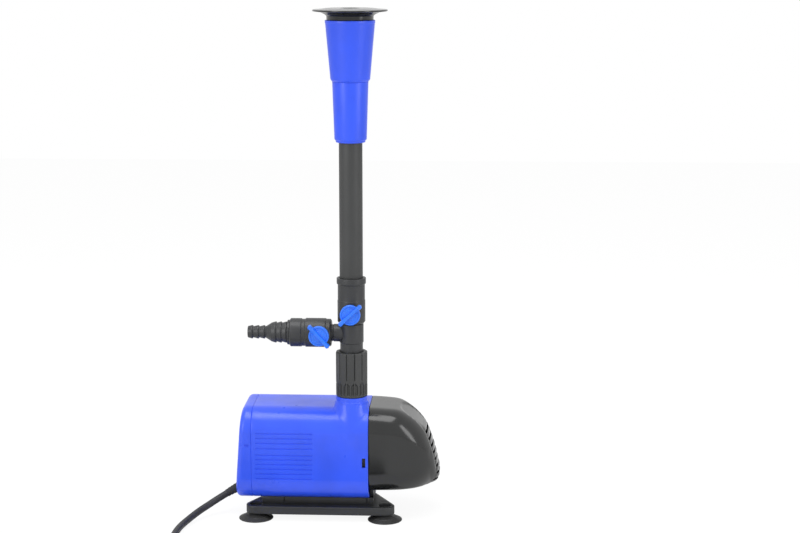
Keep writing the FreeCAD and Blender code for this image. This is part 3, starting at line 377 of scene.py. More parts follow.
@dataclass(frozen=True)
class FiredCeramic(Finish):
    """Ground ceramic or sintered magnet: smooth, with fine grinding lines and pits."""

    pits: float = 0.3

    def paint(self, graph: Graph) -> None:
        """Speckle in the colour and grinding lines in the relief."""
        base = linear(self.colour)
        speckle = graph.noise(0.7, 3).above(0.5, 0.75)
        lines = graph.bands(0.2, "X")
        graph.set(Base_Color=graph.blend(speckle * self.pits, base, shade(base, 0.6)))
        graph.set(Roughness=speckle * 0.2 + self.roughness)
        graph.bump(lines, 0.003)
        graph.bump(speckle, -0.02)


@dataclass(frozen=True)
class CastResin(Finish):
    """Poured potting resin with trapped bubbles and a drawn-in skin."""

    def paint(self, graph: Graph) -> None:
        """Bubbles and slow waves."""
        base = linear(self.colour)
        bubbles = graph.cells(2.6).above(0.0, 0.24)
        waves = graph.noise(16, 2)
        graph.set(Base_Color=graph.blend(waves, shade(base, 0.7), shade(base, 1.5)))
        graph.set(Roughness=bubbles * -0.1 + self.roughness)
        graph.bump(bubbles, 0.25)
        graph.bump(waves, 0.3)


BLUE = MouldedPlastic("pump_blue", "blue_plastic", (46, 84, 232), 0.3, grain_depth=0.0018)
CONE_BLUE = MouldedPlastic("cone_blue", "blue_plastic", (40, 80, 228), 0.36, grain_depth=0.0024)
KNOB_BLUE = MouldedPlastic("knob_blue", "blue_plastic", (38, 112, 232), 0.3, grain_depth=0.0012)
BLACK = MouldedPlastic("satin_black", "black_plastic", (40, 41, 43), 0.42, spread=0.12, grain_depth=0.006)
TUBE_BLACK = MouldedPlastic(
    "tube_black", "black_plastic", (48, 49, 49), 0.5, spread=0.1, grain_depth=0.0042,
)
NOSE_BLACK = MouldedPlastic(
    "nose_black", "black_gloss_plastic", (27, 28, 28), 0.17, spread=0.05, grain_depth=0.0004,
    ripple=0.008,
)
BASE_BLACK = MouldedPlastic(
    "base_black", "black_plastic", (36, 37, 38), 0.42, spread=0.12, grain_depth=0.0075,
)
CUP_RUBBER = SoftRubber("cup_rubber", "rubber", (46, 46, 46), 0.5)
SEAL_RUBBER = SoftRubber("seal_rubber", "rubber", (30, 30, 31), 0.55)
PLUG_RUBBER = SoftRubber("plug_rubber", "plug_rubber", (34, 34, 35), 0.55, bloom=0.15)
SHEATH = CordSheath("cord_sheath", "cord_rubber", (38, 38, 40), 0.46)
TIE = MouldedPlastic("tie_band", "tie_plastic", (30, 30, 32), 0.4)
PINS = TurnedMetal("nickel", "nickel_pins", (205, 200, 190), 0.2, along="X")
SCREWS = TurnedMetal("screw_steel", "stainless_steel", (196, 198, 200), 0.3, along="Z")
CORE = StackedSteel("core_sheets", "lamination_steel", (150, 150, 152), 0.5)
COPPER = WoundCopper("winding_wire", "copper_winding", (196, 104, 56), 0.34)
RESIN = CastResin("potting", "potting_resin", (28, 26, 26), 0.3)
SHAFT = FiredCeramic("shaft_white", "shaft_ceramic", (226, 222, 212), 0.22, pits=0.12)
FERRITE = FiredCeramic("ferrite", "ferrite_magnet", (62, 60, 62), 0.45)
WHITE = MouldedPlastic("white_moulding", "white_plastic", (222, 222, 216), 0.4, spread=0.04)
FOAM = OpenSponge("filter_foam", "sponge", (58, 60, 64), 0.95)


# --- mesh making --------------------------------------------------------------

class Merge(Enum):
    """What becomes of the space that two pieces share."""

    CUT = "DIFFERENCE"
    JOIN = "UNION"


def eased(outline: Sequence[Point], radius: float, steps: int = 3) -> list[tuple[float, float]]:
    """Rounds every corner of a closed outline.

    Args:
        outline: corner points.
        radius: largest fillet; short edges get a smaller one.
        steps: segments of each fillet.

    Returns:
        The points of the rounded outline.
    """
    made = []
    count = len(outline)
    for index, corner in enumerate(outline):
        here = Vector(corner)
        before = Vector(outline[index - 1]) - here
        after = Vector(outline[(index + 1) % count]) - here
        if here.x < 1e-6 or before.length < 1e-6 or after.length < 1e-6:
            made.append((here.x, here.y))
            continue
        turn = before.angle(after)
        reach = min(radius / math.tan(turn / 2), 0.42 * before.length, 0.42 * after.length)
        if turn > 3.0:
            made.append((here.x, here.y))
            continue
        start = here + before.normalized() * reach
        end = here + after.normalized() * reach
        for step in range(steps + 1):
            share = step / steps
            first = start.lerp(here, share)
            second = here.lerp(end, share)
            point = first.lerp(second, share)
            made.append((point.x, point.y))
    return made


class Skin:
    """Points and faces of one closed piece, in millimetres about the datum."""

    def __init__(self) -> None:
        """Starts empty."""
        self.points: list[Vector] = []
        self.faces: list[tuple[int, ...]] = []

    def ring(self, points: Iterable[Point]) -> list[int]:
        """Adds a ring of points and returns their numbers."""
        start = len(self.points)
        self.points += [Vector(point) for point in points]
        return list(range(start, len(self.points)))

    def bridge(self, first: Sequence[int], second: Sequence[int]) -> None:
        """Joins two closed rings of the same count with a band of quads."""
        count = len(first)
        for index in range(count):
            following = (index + 1) % count
            self.faces.append((first[index], first[following], second[following], second[index]))

    def loft(self, rings: Sequence[Iterable[Point]], closed: bool = False) -> None:
        """Joins rings in order.

        Args:
            rings: the rings of points, all of one count.
            closed: joins the last to the first, as for a ring-shaped piece;
                otherwise both ends get a face.
        """
        numbers = [self.ring(points) for points in rings]
        for first, second in zip(numbers, numbers[1:]):
            self.bridge(first, second)
        if closed:
            self.bridge(numbers[-1], numbers[0])
        else:
            self.faces.append(tuple(reversed(numbers[0])))
            self.faces.append(tuple(numbers[-1]))

    def placed(self, matrix: Matrix) -> "Skin":
        """Moves every point by a matrix and returns the skin."""
        self.points = [matrix @ point for point in self.points]
        return self

    def add(self, other: "Skin") -> "Skin":
        """Takes in a skin that doesn't touch this one, and returns this one."""
        start = len(self.points)
        self.points += other.points
        self.faces += [tuple(start + number for number in face) for face in other.faces]
        return self

    def object(self, name: str) -> bpy.types.Object:
        """Makes a Blender object of the skin, in metres."""
        mesh = bpy.data.meshes.new(name)
        shift = Vector((0, DATUM_Y, 0))
        mesh.from_pydata([(point + shift) * MM for point in self.points], [], self.faces)
        work = bmesh.new()
        work.from_mesh(mesh)
        bmesh.ops.remove_doubles(work, verts=work.verts, dist=1e-7)
        bmesh.ops.dissolve_degenerate(work, edges=work.edges, dist=1e-7)
        bmesh.ops.recalc_face_normals(work, faces=work.faces)
        work.to_mesh(mesh)
        work.free()
        made = bpy.data.objects.new(name, mesh)
        bpy.context.scene.collection.objects.link(made)
        return made


def turned(outline: Sequence[Point], sides: int = 96, fillet: float = 0.5) -> Skin:
    """Turns a closed (radius, height) outline about Z.

    Args:
        outline: corners of the outline.
        sides: segments around.
        fillet: rounding of its corners.

    Returns:
        The turned skin.
    """
    profile = eased(outline, fillet) if fillet else list(outline)
    skin = Skin()
    rings = []
    for index in range(sides):
        turn = 2 * math.pi * index / sides
        rings.append([(r * math.cos(turn), r * math.sin(turn), h) for r, h in profile])
    skin.loft(rings, closed=True)
    return skin


def shaped(heights: Sequence[float], radius: Callable[[float, float], float], sides: int) -> Skin:
    """Turns a piece whose radius varies with its angle and height.

    Args:
        heights: heights of its rings.
        radius: gives the radius at an angle and a height.
        sides: points around.

    Returns:
        The skin, closed at both ends.
    """
    turns = [2 * math.pi * index / sides for index in range(sides)]
    rings = []
    for height in heights:
        rings.append([(radius(t, height) * math.cos(t), radius(t, height) * math.sin(t), height) for t in turns])
    skin = Skin()
    skin.loft(rings)
    return skin


def block(low: Point, high: Point) -> Skin:
    """A six-sided block between two corners, for cutting and for bevelled pieces."""
    (x0, y0, z0), (x1, y1, z1) = low, high
    skin = Skin()
    skin.loft([[(x, y0, z0), (x, y1, z0), (x, y1, z1), (x, y0, z1)] for x in (x0, x1)])
    return skin


def upright(x: float = RISER[0], y: float = RISER[1], z: float = 0.0) -> Matrix:
    """Places a piece turned about Z on an upright axis."""
    return Matrix.Translation((x, y, z))


def lying(x: float, y: float, z: float) -> Matrix:
    """Lays a piece turned about Z along +X from a point."""
    return Matrix.Translation((x, y, z)) @ Matrix.Rotation(math.pi / 2, 4, "Y")


def facing(x: float, y: float, z: float) -> Matrix:
    """Turns a piece made about Z so that its +Z end faces -Y."""
    return Matrix.Translation((x, y, z)) @ Matrix.Rotation(math.pi / 2, 4, "X")


def settled(made: bpy.types.Object) -> None:
    """Applies an object's modifiers to its mesh."""
    bpy.context.view_layer.update()
    graph = bpy.context.evaluated_depsgraph_get()
    mesh = bpy.data.meshes.new_from_object(made.evaluated_get(graph))
    made.modifiers.clear()
    made.data = mesh


def combine(made: bpy.types.Object, other: Skin, merge: Merge = Merge.CUT) -> None:
    """Cuts or joins another skin with an object.

    Args:
        made: the object that changes.
        other: the skin taken away from it, or joined to it.
        merge: whether it is cut away or joined.
    """
    tool = other.object("tool")
    step = made.modifiers.new("step", "BOOLEAN")
    step.operation = merge.value
    step.solver = "EXACT"
    step.object = tool
    settled(made)
    bpy.data.objects.remove(tool)


def bevelled(made: bpy.types.Object, width: float, segments: int = 3, angle: float = 40) -> None:
    """Rounds the edges of an object by a width in millimetres."""
    step = made.modifiers.new("step", "BEVEL")
    step.width = width * MM
    step.segments = segments
    step.limit_method = "ANGLE"
    step.angle_limit = math.radians(angle)
    step.use_clamp_overlap = True
    settled(made)


def dress(
    made: bpy.types.Object, finish: Finish, body: str, nodes: Sequence[str], crease: float = 38
) -> bpy.types.Object:
    """Gives a piece its finish, its body and the nodes that it stands for.

    Args:
        made: the piece.
        finish: its finish.
        body: the body that it rides on.
        nodes: the CAD nodes that it replaces.
        crease: degrees over which an edge stays sharp in the shading.

    Returns:
        The piece.
    """
    work = bmesh.new()
    work.from_mesh(made.data)
    limit = math.radians(crease)
    for face in work.faces:
        face.smooth = True
    for edge in work.edges:
        edge.smooth = len(edge.link_faces) == 2 and edge.calc_face_angle(0) < limit
    work.to_mesh(made.data)
    work.free()
    made.data.materials.clear()
    made.data.materials.append(finish.material())
    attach(made, body)
    if nodes:
        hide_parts(*nodes)
    LOG.info("%s: %d faces on %s", made.name, len(made.data.polygons), body)
    return made


def smoothstep(low: float, high: float, value: float) -> float:
    """Smooth rise from zero at low to one at high."""
    share = min(1.0, max(0.0, (value - low) / (high - low)))
    return share * share * (3 - 2 * share)


def between(low: float, high: float, count: int) -> list[float]:
    """Evenly spaced numbers, both ends among them."""
    return [low + (high - low) * index / (count - 1) for index in range(count)]


def arc_section(
    x: float, half: float, low: float, high: float, radius: float, sides: Sequence[float], top: Sequence[float]
) -> list[tuple[float, float, float]]:
    """Points of a rounded rectangle across X, always in the same number and order.

    Args:
        x: where the section lies.
        half: half its width.
        low: its lowest height.
        high: its highest height.
        radius: rounding of its corners.
        sides: shares of the height, from 0 to 1, of the points of each side.
        top: shares of the flat top's width, from -1 to 1, of its points.

    Returns:
        The points, from the underside's middle round by +Y.
    """
    flat = half - radius
    rise = high - low

    def edge(z: float) -> float:
        """Half width at a height."""
        drop = max(low + radius - z, z - high + radius, 0.0)
        return flat + math.sqrt(max(radius * radius - drop * drop, 0.0))

    first, last = low + sides[0] * rise, low + sides[-1] * rise
    start = math.acos(min(1.0, (edge(first) - flat) / radius)) * (1 if first < low + radius else -1)
    end = math.acos(min(1.0, (edge(last) - flat) / radius)) * (1 if last > high - radius else -1)
    right = [(share * flat, low) for share in (0.0, 0.35, 0.7)]
    for turn in between(-math.pi / 2, -start, 15)[:-1]:
        right.append((flat + radius * math.cos(turn), low + radius + radius * math.sin(turn)))
    right += [(edge(low + share * rise), low + share * rise) for share in sides]
    for turn in between(end, math.pi / 2, 21)[1:]:
        right.append((flat + radius * math.cos(turn), high - radius + radius * math.sin(turn)))
    over = [(share * flat, high) for share in reversed(top)]
    left = [(-y, z) for y, z in reversed(right[1:])]
    return [(x, y, z) for y, z in right + over + left]


class Bend:
    """A smooth curve through given points, with no overshoot."""

    def __init__(self, points: Sequence[Point]) -> None:
        """Works out the slopes at the points."""
        self.xs = [point[0] for point in points]
        self.ys = [point[1] for point in points]
        steps = [(self.ys[i + 1] - self.ys[i]) / (self.xs[i + 1] - self.xs[i]) for i in range(len(points) - 1)]
        self.slopes = [steps[0]]
        for before, after in zip(steps, steps[1:]):
            same = before * after > 0
            self.slopes.append(2 * before * after / (before + after) if same else 0.0)
        self.slopes.append(steps[-1])

    def at(self, x: float) -> float:
        """The curve's value at x."""
        index = 0
        while index < len(self.xs) - 2 and x > self.xs[index + 1]:
            index += 1
        width = self.xs[index + 1] - self.xs[index]
        t = min(1.0, max(0.0, (x - self.xs[index]) / width))
        rise = self.ys[index + 1] - self.ys[index]
        first = self.slopes[index] * width
        last = self.slopes[index + 1] * width
        return self.ys[index] + t * (
            first + t * ((3 * rise - 2 * first - last) + t * (first + last - 2 * rise))
        )


# --- the cord -----------------------------------------------------------------

@dataclass
class MainsCord:
    """Three metres of rubber cord, its strain relief, its tied hank and its plug."""

    radius: float = 3.5
    length: float = 3.0
    gland: Point = (-102.5, -10.0, 27.6)
    gland_length: float = 16.0
    gland_r: float = 4.4
    tip_r: float = 3.9
    down: float = 25.0
    aside: float = 27.0
    first: float = 12.0
    route: Sequence[Point] = (
        (-132.9, -28.6, 11.8),
        (-140.6, -38.6, 8.8),
        (-148.9, -56.0, 5.6),
        (-155.4, -79.0, 4.0),
        (-156.6, -104.0, 3.5),
        (-156.2, -131.0, 3.5),
        (-155.0, -158.0, 3.5),
    )
    hank: Point = (-52.5, -186.0)
    run: float = 134.0
    mean_r: float = 28.0
    columns: int = 3
    layers: int = 2
    quarter: int = 4
    tail: Sequence[Point] = (
        (-134.8, -213.6, 16.6),
        (-120.3, -217.4, 17.2),
        (-104.9, -213.1, 17.6),
        (-93.9, -201.7, 17.6),
        (-82.9, -190.2, 17.2),
        (-67.5, -186.0, 16.8),
    )
    plug: Point = (-58.0, -186.0, 16.5)
    plug_length: float = 61.0
    plug_r: float = 16.5
    sleeve: float = 26.0

    def heading(self) -> Vector:
        """Direction in which the cord leaves its strain relief."""
        down, aside = math.radians(self.down), math.radians(self.aside)
        level = math.cos(down)
        return Vector((-level * math.cos(aside), -level * math.sin(aside), -math.sin(down)))

    def turns(self) -> list[tuple[float, float]]:
        """Bend radius and height of each stored turn, and of the one that leaves."""
        shift = 2 * self.radius
        inwards = [self.mean_r + shift * (self.columns // 2 - place) for place in range(self.columns)]
        made = []
        for layer in range(self.layers):
            row = inwards if layer % 2 == 0 else inwards[::-1]
            made += [(bend, self.radius + shift * layer) for bend in row]
        last_bend, last_height = made[-1]
        nest = math.sqrt(shift**2 - self.radius**2)
        return made + [(last_bend - self.radius, last_height + nest)]

    def seat(self, step: int, bend: float, height: float) -> Vector:
        """Control point of the hank.

        Args:
            step: count from the middle of its rear end; each end has one more than its arcs.
            bend: radius that the line keeps round both ends.
            height: of the line above the floor.
        """
        arc = math.pi / (2 * self.quarter)
        passed = (step > self.quarter) + (step > 3 * self.quarter + 1)
        side = 1 if passed == 1 else -1
        angle = math.pi + arc * (step - passed)
        reach = bend / math.cos(arc / 2)
        x = self.hank[0] + side * self.run / 2 + reach * math.cos(angle)
        return Vector((x, self.hank[1] + reach * math.sin(angle), height))

    def line(self) -> list[Vector]:
        """Control points from the strain relief through the hank to the plug."""
        tip = Vector(self.gland) + self.heading() * self.gland_length
        points = [tip, tip + self.heading() * self.first]
        points += [Vector(point) for point in self.route]
        turns = self.turns()
        steps = 4 * self.quarter + 2
        for here, after in zip(turns, turns[1:]):
            for step in range(steps):
                shape = after if step > 3 * self.quarter + 1 else here
                points.append(self.seat(step, *shape))
        points += [self.seat(step, *turns[-1]) for step in range(self.quarter - 1)]
        points += [Vector(point) for point in self.tail]
        return points + [Vector(self.plug) + Vector((2.0, 0, 0))]

    def build(self) -> None:
        curve = bpy.data.curves.new("cord_line", "CURVE")
        curve.dimensions = "3D"
        curve.resolution_u = 6
        curve.bevel_depth = self.radius * MM
        curve.bevel_resolution = 6
        curve.use_fill_caps = True
        points = self.line()
        spline = curve.splines.new("NURBS")
        spline.points.add(len(points) - 1)
        shift = Vector((0, DATUM_Y, 0))
        for place, point in zip(spline.points, points):
            place.co = (*((point + shift) * MM), 1)
        spline.order_u = 3
        spline.use_endpoint_u = True
        spline.use_smooth = True
        cord = bpy.data.objects.new("mains_cord", curve)
        bpy.context.scene.collection.objects.link(cord)
        curve.materials.append(SHEATH.material())
        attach(cord, "pump")
        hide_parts("cord", "cord_coil", "cord_tail")
        pieces = [self.strain_relief(), self.tie_band(), self.mains_plug(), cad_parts["plug_pins"]]
        exit_point = (points[0] + shift) * MM
        2 * self.radius * MM

    def strain_relief(self) -> bpy.types.Object:
        """Tapered rubber sleeve with rings, drooping out of the rear cover."""
        place = Vector(self.gland)
        outline: list[Point] = [(self.radius * 0.86, -9.0), (5.4, -9.0), (5.4, -7.0), (self.gland_r, -6.6)]
        pitch = self.gland_length / 5
        outline.append((self.gland_r, 0.4))
        for ring in range(4):
            base = 0.8 + ring * pitch
            crest = self.gland_r + (self.tip_r - self.gland_r) * ring / 4
            outline += [(crest + 0.15, base), (crest + 0.15, base + pitch * 0.62)]
            outline += [(crest - 0.25, base + pitch * 0.72), (crest - 0.25, base + pitch * 0.95)]
        outline += [(self.tip_r, self.gland_length - 2.4), (self.tip_r, self.gland_length)]
        outline.append((self.radius * 0.86, self.gland_length))
        skin = turned(outline, 48, 0.25)
        aim = self.heading().to_track_quat("Z", "Y").to_matrix().to_4x4()
        level = Vector((-1, 0, 0)).to_track_quat("Z", "Y").to_matrix().to_4x4()
        moved = []
        for point in skin.points:
            matrix = Matrix.Translation(place) @ (level if point.z < 0 else aim)
            moved.append(matrix @ point)
        skin.points = moved
        return dress(skin.object("strain_relief"), PLUG_RUBBER, "pump", ["cord_gland"])

    def tie_band(self) -> bpy.types.Object:
        """Band round the stored turns, with a rounded section."""
        low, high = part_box("coil_tie")
        x = (low.x + high.x) / 2 / MM
        y0, y1 = low.y / MM - DATUM_Y, high.y / MM - DATUM_Y
        top = high.z / MM
        rings = []
        for inset, out in ((-4.6, 0), (-5, 0.3), (5, 0.3), (4.6, 0)):
            section = arc_section(
                x + inset, (y1 - y0) / 2 - 0.3 + out, 0, top - 0.3 + out, 4, (0.3, 0.5, 0.7),
                (0.0,),
            )
            rings.append([(px, py + (y0 + y1) / 2, pz) for px, py, pz in section])
        for inset in (5, -5):
            section = arc_section(
                x + inset, (y1 - y0) / 2 - 1.2, 0.6, top - 1.2, 3.4, (0.3, 0.5, 0.7), (0.0,),
            )
            rings.append([(px, py + (y0 + y1) / 2, pz) for px, py, pz in section])
        skin = Skin()
        skin.loft(rings, closed=True)
        return dress(skin.object("tie_band"), TIE, "pump", ["coil_tie"])

    def mains_plug(self) -> bpy.types.Object:
        """Round plug with a ribbed sleeve, a grip waist and a socket face."""
        tip, end = self.radius + 0.9, self.plug_length
        outline: list[Point] = [(0, 0), (tip, 0)]
        for ring in range(6):
            base = 2.5 + ring * 3.7
            crest = tip + 0.5 + ring * 0.28
            outline += [
                (crest, base), (crest, base + 2.2), (crest - 0.7, base + 2.5),
                (crest - 0.7, base + 3.4),
            ]
        outline += [
            (self.radius + 2.5, self.sleeve),
            (self.plug_r - 5, self.sleeve + 5),
            (self.plug_r, self.sleeve + 12),
            (self.plug_r, self.sleeve + 20),
            (self.plug_r - 1.0, self.sleeve + 22),
            (self.plug_r - 1.0, self.sleeve + 29),
            (self.plug_r, self.sleeve + 31),
            (self.plug_r, end),
            (self.plug_r - 2.5, end),
            (self.plug_r - 3.0, end - 0.8),
            (0, end - 0.8),
        ]
        skin = turned(outline, 96, 0.7).placed(lying(*self.plug))
        made = skin.object("mains_plug")
        for side in (-1, 1):
            slot = block((self.plug[0] + 38, -4, -2.5), (self.plug[0] + 64, 4, 2.5))
            spot = Matrix.Translation((0, self.plug[1] + side * (self.plug_r + 1.6), self.plug[2]))
            combine(made, slot.placed(spot))
        return dress(made, PLUG_RUBBER, "pump", ["plug_body"])


# --- housing and nose -----------------------------------------------------------

@dataclass
class Housing:
    """Blue shell of the motor with its outlet fairing, and the rear cover."""

    rear: float = -103.46
    seam: float = -86.1
    front: float = 32.3
    half: float = 46.5
    low: float = 21.0
    high: float = 116.0
    corner: float = 25.0
    wall: float = 3.0
    slant: float = 4.0
    rear_round: float = 5.0
    grooves: Sequence[float] = (46.0, 51.0, 56.0, 61.0, 66.0, 70.5, 77.5, 83.0, 88.0, 93.0)
    groove_x: Point = (-81.5, -24.2)
    groove_half: float = 0.7
    groove_depth: float = 0.6
    boss_r: float = 16.3
    boss_top: float = 128.0
    bore_r: float = 13.1
    window_x: Point = (26.1, 29.6)
    window_z: Point = (58.5, 68.5)
    screw_reach: float = 12.2

    def side_shares(self) -> list[float]:
        """Heights of the side's points, close together at the grip grooves."""
        heights = [39.5, 42.5]
        for z in self.grooves:
            heights += [z - self.groove_half, z - 0.4, z + 0.4, z + self.groove_half]
            heights.append(z + 2.4)
        heights += [97.5]
        rise = self.high - self.low
        return [(z - self.low) / rise for z in sorted(heights)]

    def section(self, x: float, inset: float) -> list[tuple[float, float, float]]:
        """Section of the shell at x, drawn in by inset."""
        low, high = self.low + inset, self.high - inset
        shares = [
            (self.low + share * (self.high - self.low) - low) / (high - low)
            for share in self.side_shares()
        ]
        top = between(-1, 1, 25)
        return arc_section(x, self.half - inset, low, high, self.corner - inset, shares, top)

    def fairing(self, x: float, y: float) -> float:
        """Height of the outlet's fairing over a point."""
        away = math.hypot(x - RISER[0], y - RISER[1])
        if away > self.corner + 3:
            return 0.0
        spread = max(0.0, away - self.boss_r - 0.6)
        return self.high + 6.5 - 31.5 * (spread / 9.6) ** 0.72 if spread < 9.6 else 92.0 - 4 * (spread - 9.6)

    def groove(self, x: float, z: float) -> float:
        """Depth of the grip grooves at a point of the side."""
        if not self.groove_x[0] < x < self.groove_x[1]:
            return 0.0
        near = min(abs(z - groove) for groove in self.grooves)
        return self.groove_depth * (1 - smoothstep(0.38, self.groove_half, near))

    def shell(self) -> bpy.types.Object:
        """The main shell with its grooves, fairing, boss and latch windows."""
        stations = [(self.seam, 0.5), (self.seam + 0.35, 0.12), (self.seam + 0.8, 0)]
        ends = [
            self.groove_x[0] - 0.1, self.groove_x[0] + 0.4, self.groove_x[1] - 0.4,
            self.groove_x[1] + 0.1,
        ]
        middle = ends + between(-78, -27, 12) + between(-21, -12, 4) + between(-11, self.front - 1.2, 44)
        stations += [(x, 0) for x in sorted(middle)]
        stations += [(self.front - 0.7, 0), (self.front - 0.3, 0.1), (self.front, 0.45)]
        rings = []
        for x, inset in stations:
            ring = []
            for px, py, pz in self.section(x, inset):
                if abs(py) > self.half - 3:
                    py -= math.copysign(self.groove(px, pz), py)
                if pz > 80:
                    lift = self.fairing(px, py)
                    blend = max(0.0, 1 - abs(pz - lift) / 3)
                    pz = max(pz, lift) + 0.75 * blend * blend
                ring.append((px, py, pz))
            rings.append(ring)
        inner = [self.section(x, self.wall) for x in (self.front, -2.0, self.seam)]
        skin = Skin()
        skin.loft(rings + inner, closed=True)
        made = skin.object("housing_shell")
        top = self.boss_top
        collar = [
            (self.bore_r, 100), (self.boss_r, 100), (self.boss_r, top - 5.2),
            (self.boss_r - 0.5, top - 4.6),
        ]
        collar += [(self.boss_r - 0.5, top), (self.bore_r, top)]
        combine(
            made,
            turned([(0, 88), (self.bore_r, 88), (self.bore_r, 130), (0, 130)], 96, 0).placed(upright()),
        )
        combine(made, turned(collar, 96, 0.4).placed(upright()), Merge.JOIN)
        for side in (-1, 1):
            low_y, high_y = sorted((side * (self.half + 2), side * (self.half - self.wall - 2)))
            (x0, x1), (z0, z1) = self.window_x, self.window_z
            combine(made, block((x0, low_y, z0), (x1, high_y, z1)))
        return dress(made, BLUE, "pump", ["housing"], 32)

    def rear_cap(self) -> bpy.types.Object:
        """Rear cover: rounded rear edge, sunk screws, a cord opening and a notch."""
        lean = math.tan(math.radians(self.slant))
        rings = []
        for x, inset in ((self.seam, 0.5), (self.seam - 0.35, 0.12), (self.seam - 0.8, 0)):
            rings.append(self.section(x, inset))
        for turn in between(0, math.pi / 2, 9):
            inset = self.rear_round * (1 - math.cos(turn))
            back = self.rear + self.rear_round * (1 - math.sin(turn))
            ring = self.section(0, inset)
            rings.append([(back + (z - self.low) * lean, y, z) for x, y, z in ring])
        for inset in (12.0, 24.0, 38.0):
            ring = self.section(0, min(inset, self.corner - 1))
            squeeze = 1 - max(0.0, inset - self.corner + 1) / self.half
            middle = (self.low + self.high) / 2
            placed = [(0, y * squeeze, middle + (z - middle) * squeeze) for x, y, z in ring]
            rings.append([(self.rear + (z - self.low) * lean, y, z) for x, y, z in placed])
        skin = Skin()
        front_wall = [self.section(self.seam, self.wall + 2), self.section(self.seam, 0.5)]
        inner = self.section(0, self.wall + 2)
        skin.loft(
            [[(self.rear + 4 + (z - self.low) * lean, y, z) for x, y, z in inner]]
            + front_wall
            + rings[1:]
        )
        made = skin.object("rear_cap")
        side = self.half - self.corner + self.screw_reach
        for y in (-side, side):
            for z in (self.low + self.corner - self.screw_reach, self.high - self.corner + self.screw_reach):
                well = turned([(0, 0), (3.2, 0), (3.2, 7.8), (3.8, 8.6), (3.8, 20), (0, 20)], 40, 0)
                aim = Matrix.Translation((-94.4, y, z)) @ Matrix.Rotation(-math.pi / 2, 4, "Y")
                combine(made, well.placed(aim))
        opening = turned([(0, -12), (5.0, -12), (5.0, 12), (0, 12)], 40, 0)
        combine(made, opening.placed(lying(-102.5, -10.0, 27.6)))
        notch = block((-93.0, -48, 79.5), (-88.6, -self.half + 0.9, 81.6))
        combine(made, notch)
        return dress(made, BLUE, "pump", ["rear_cover"], 32)

    def build(self) -> None:
        """Builds both."""
        self.shell()
        self.rear_cap()


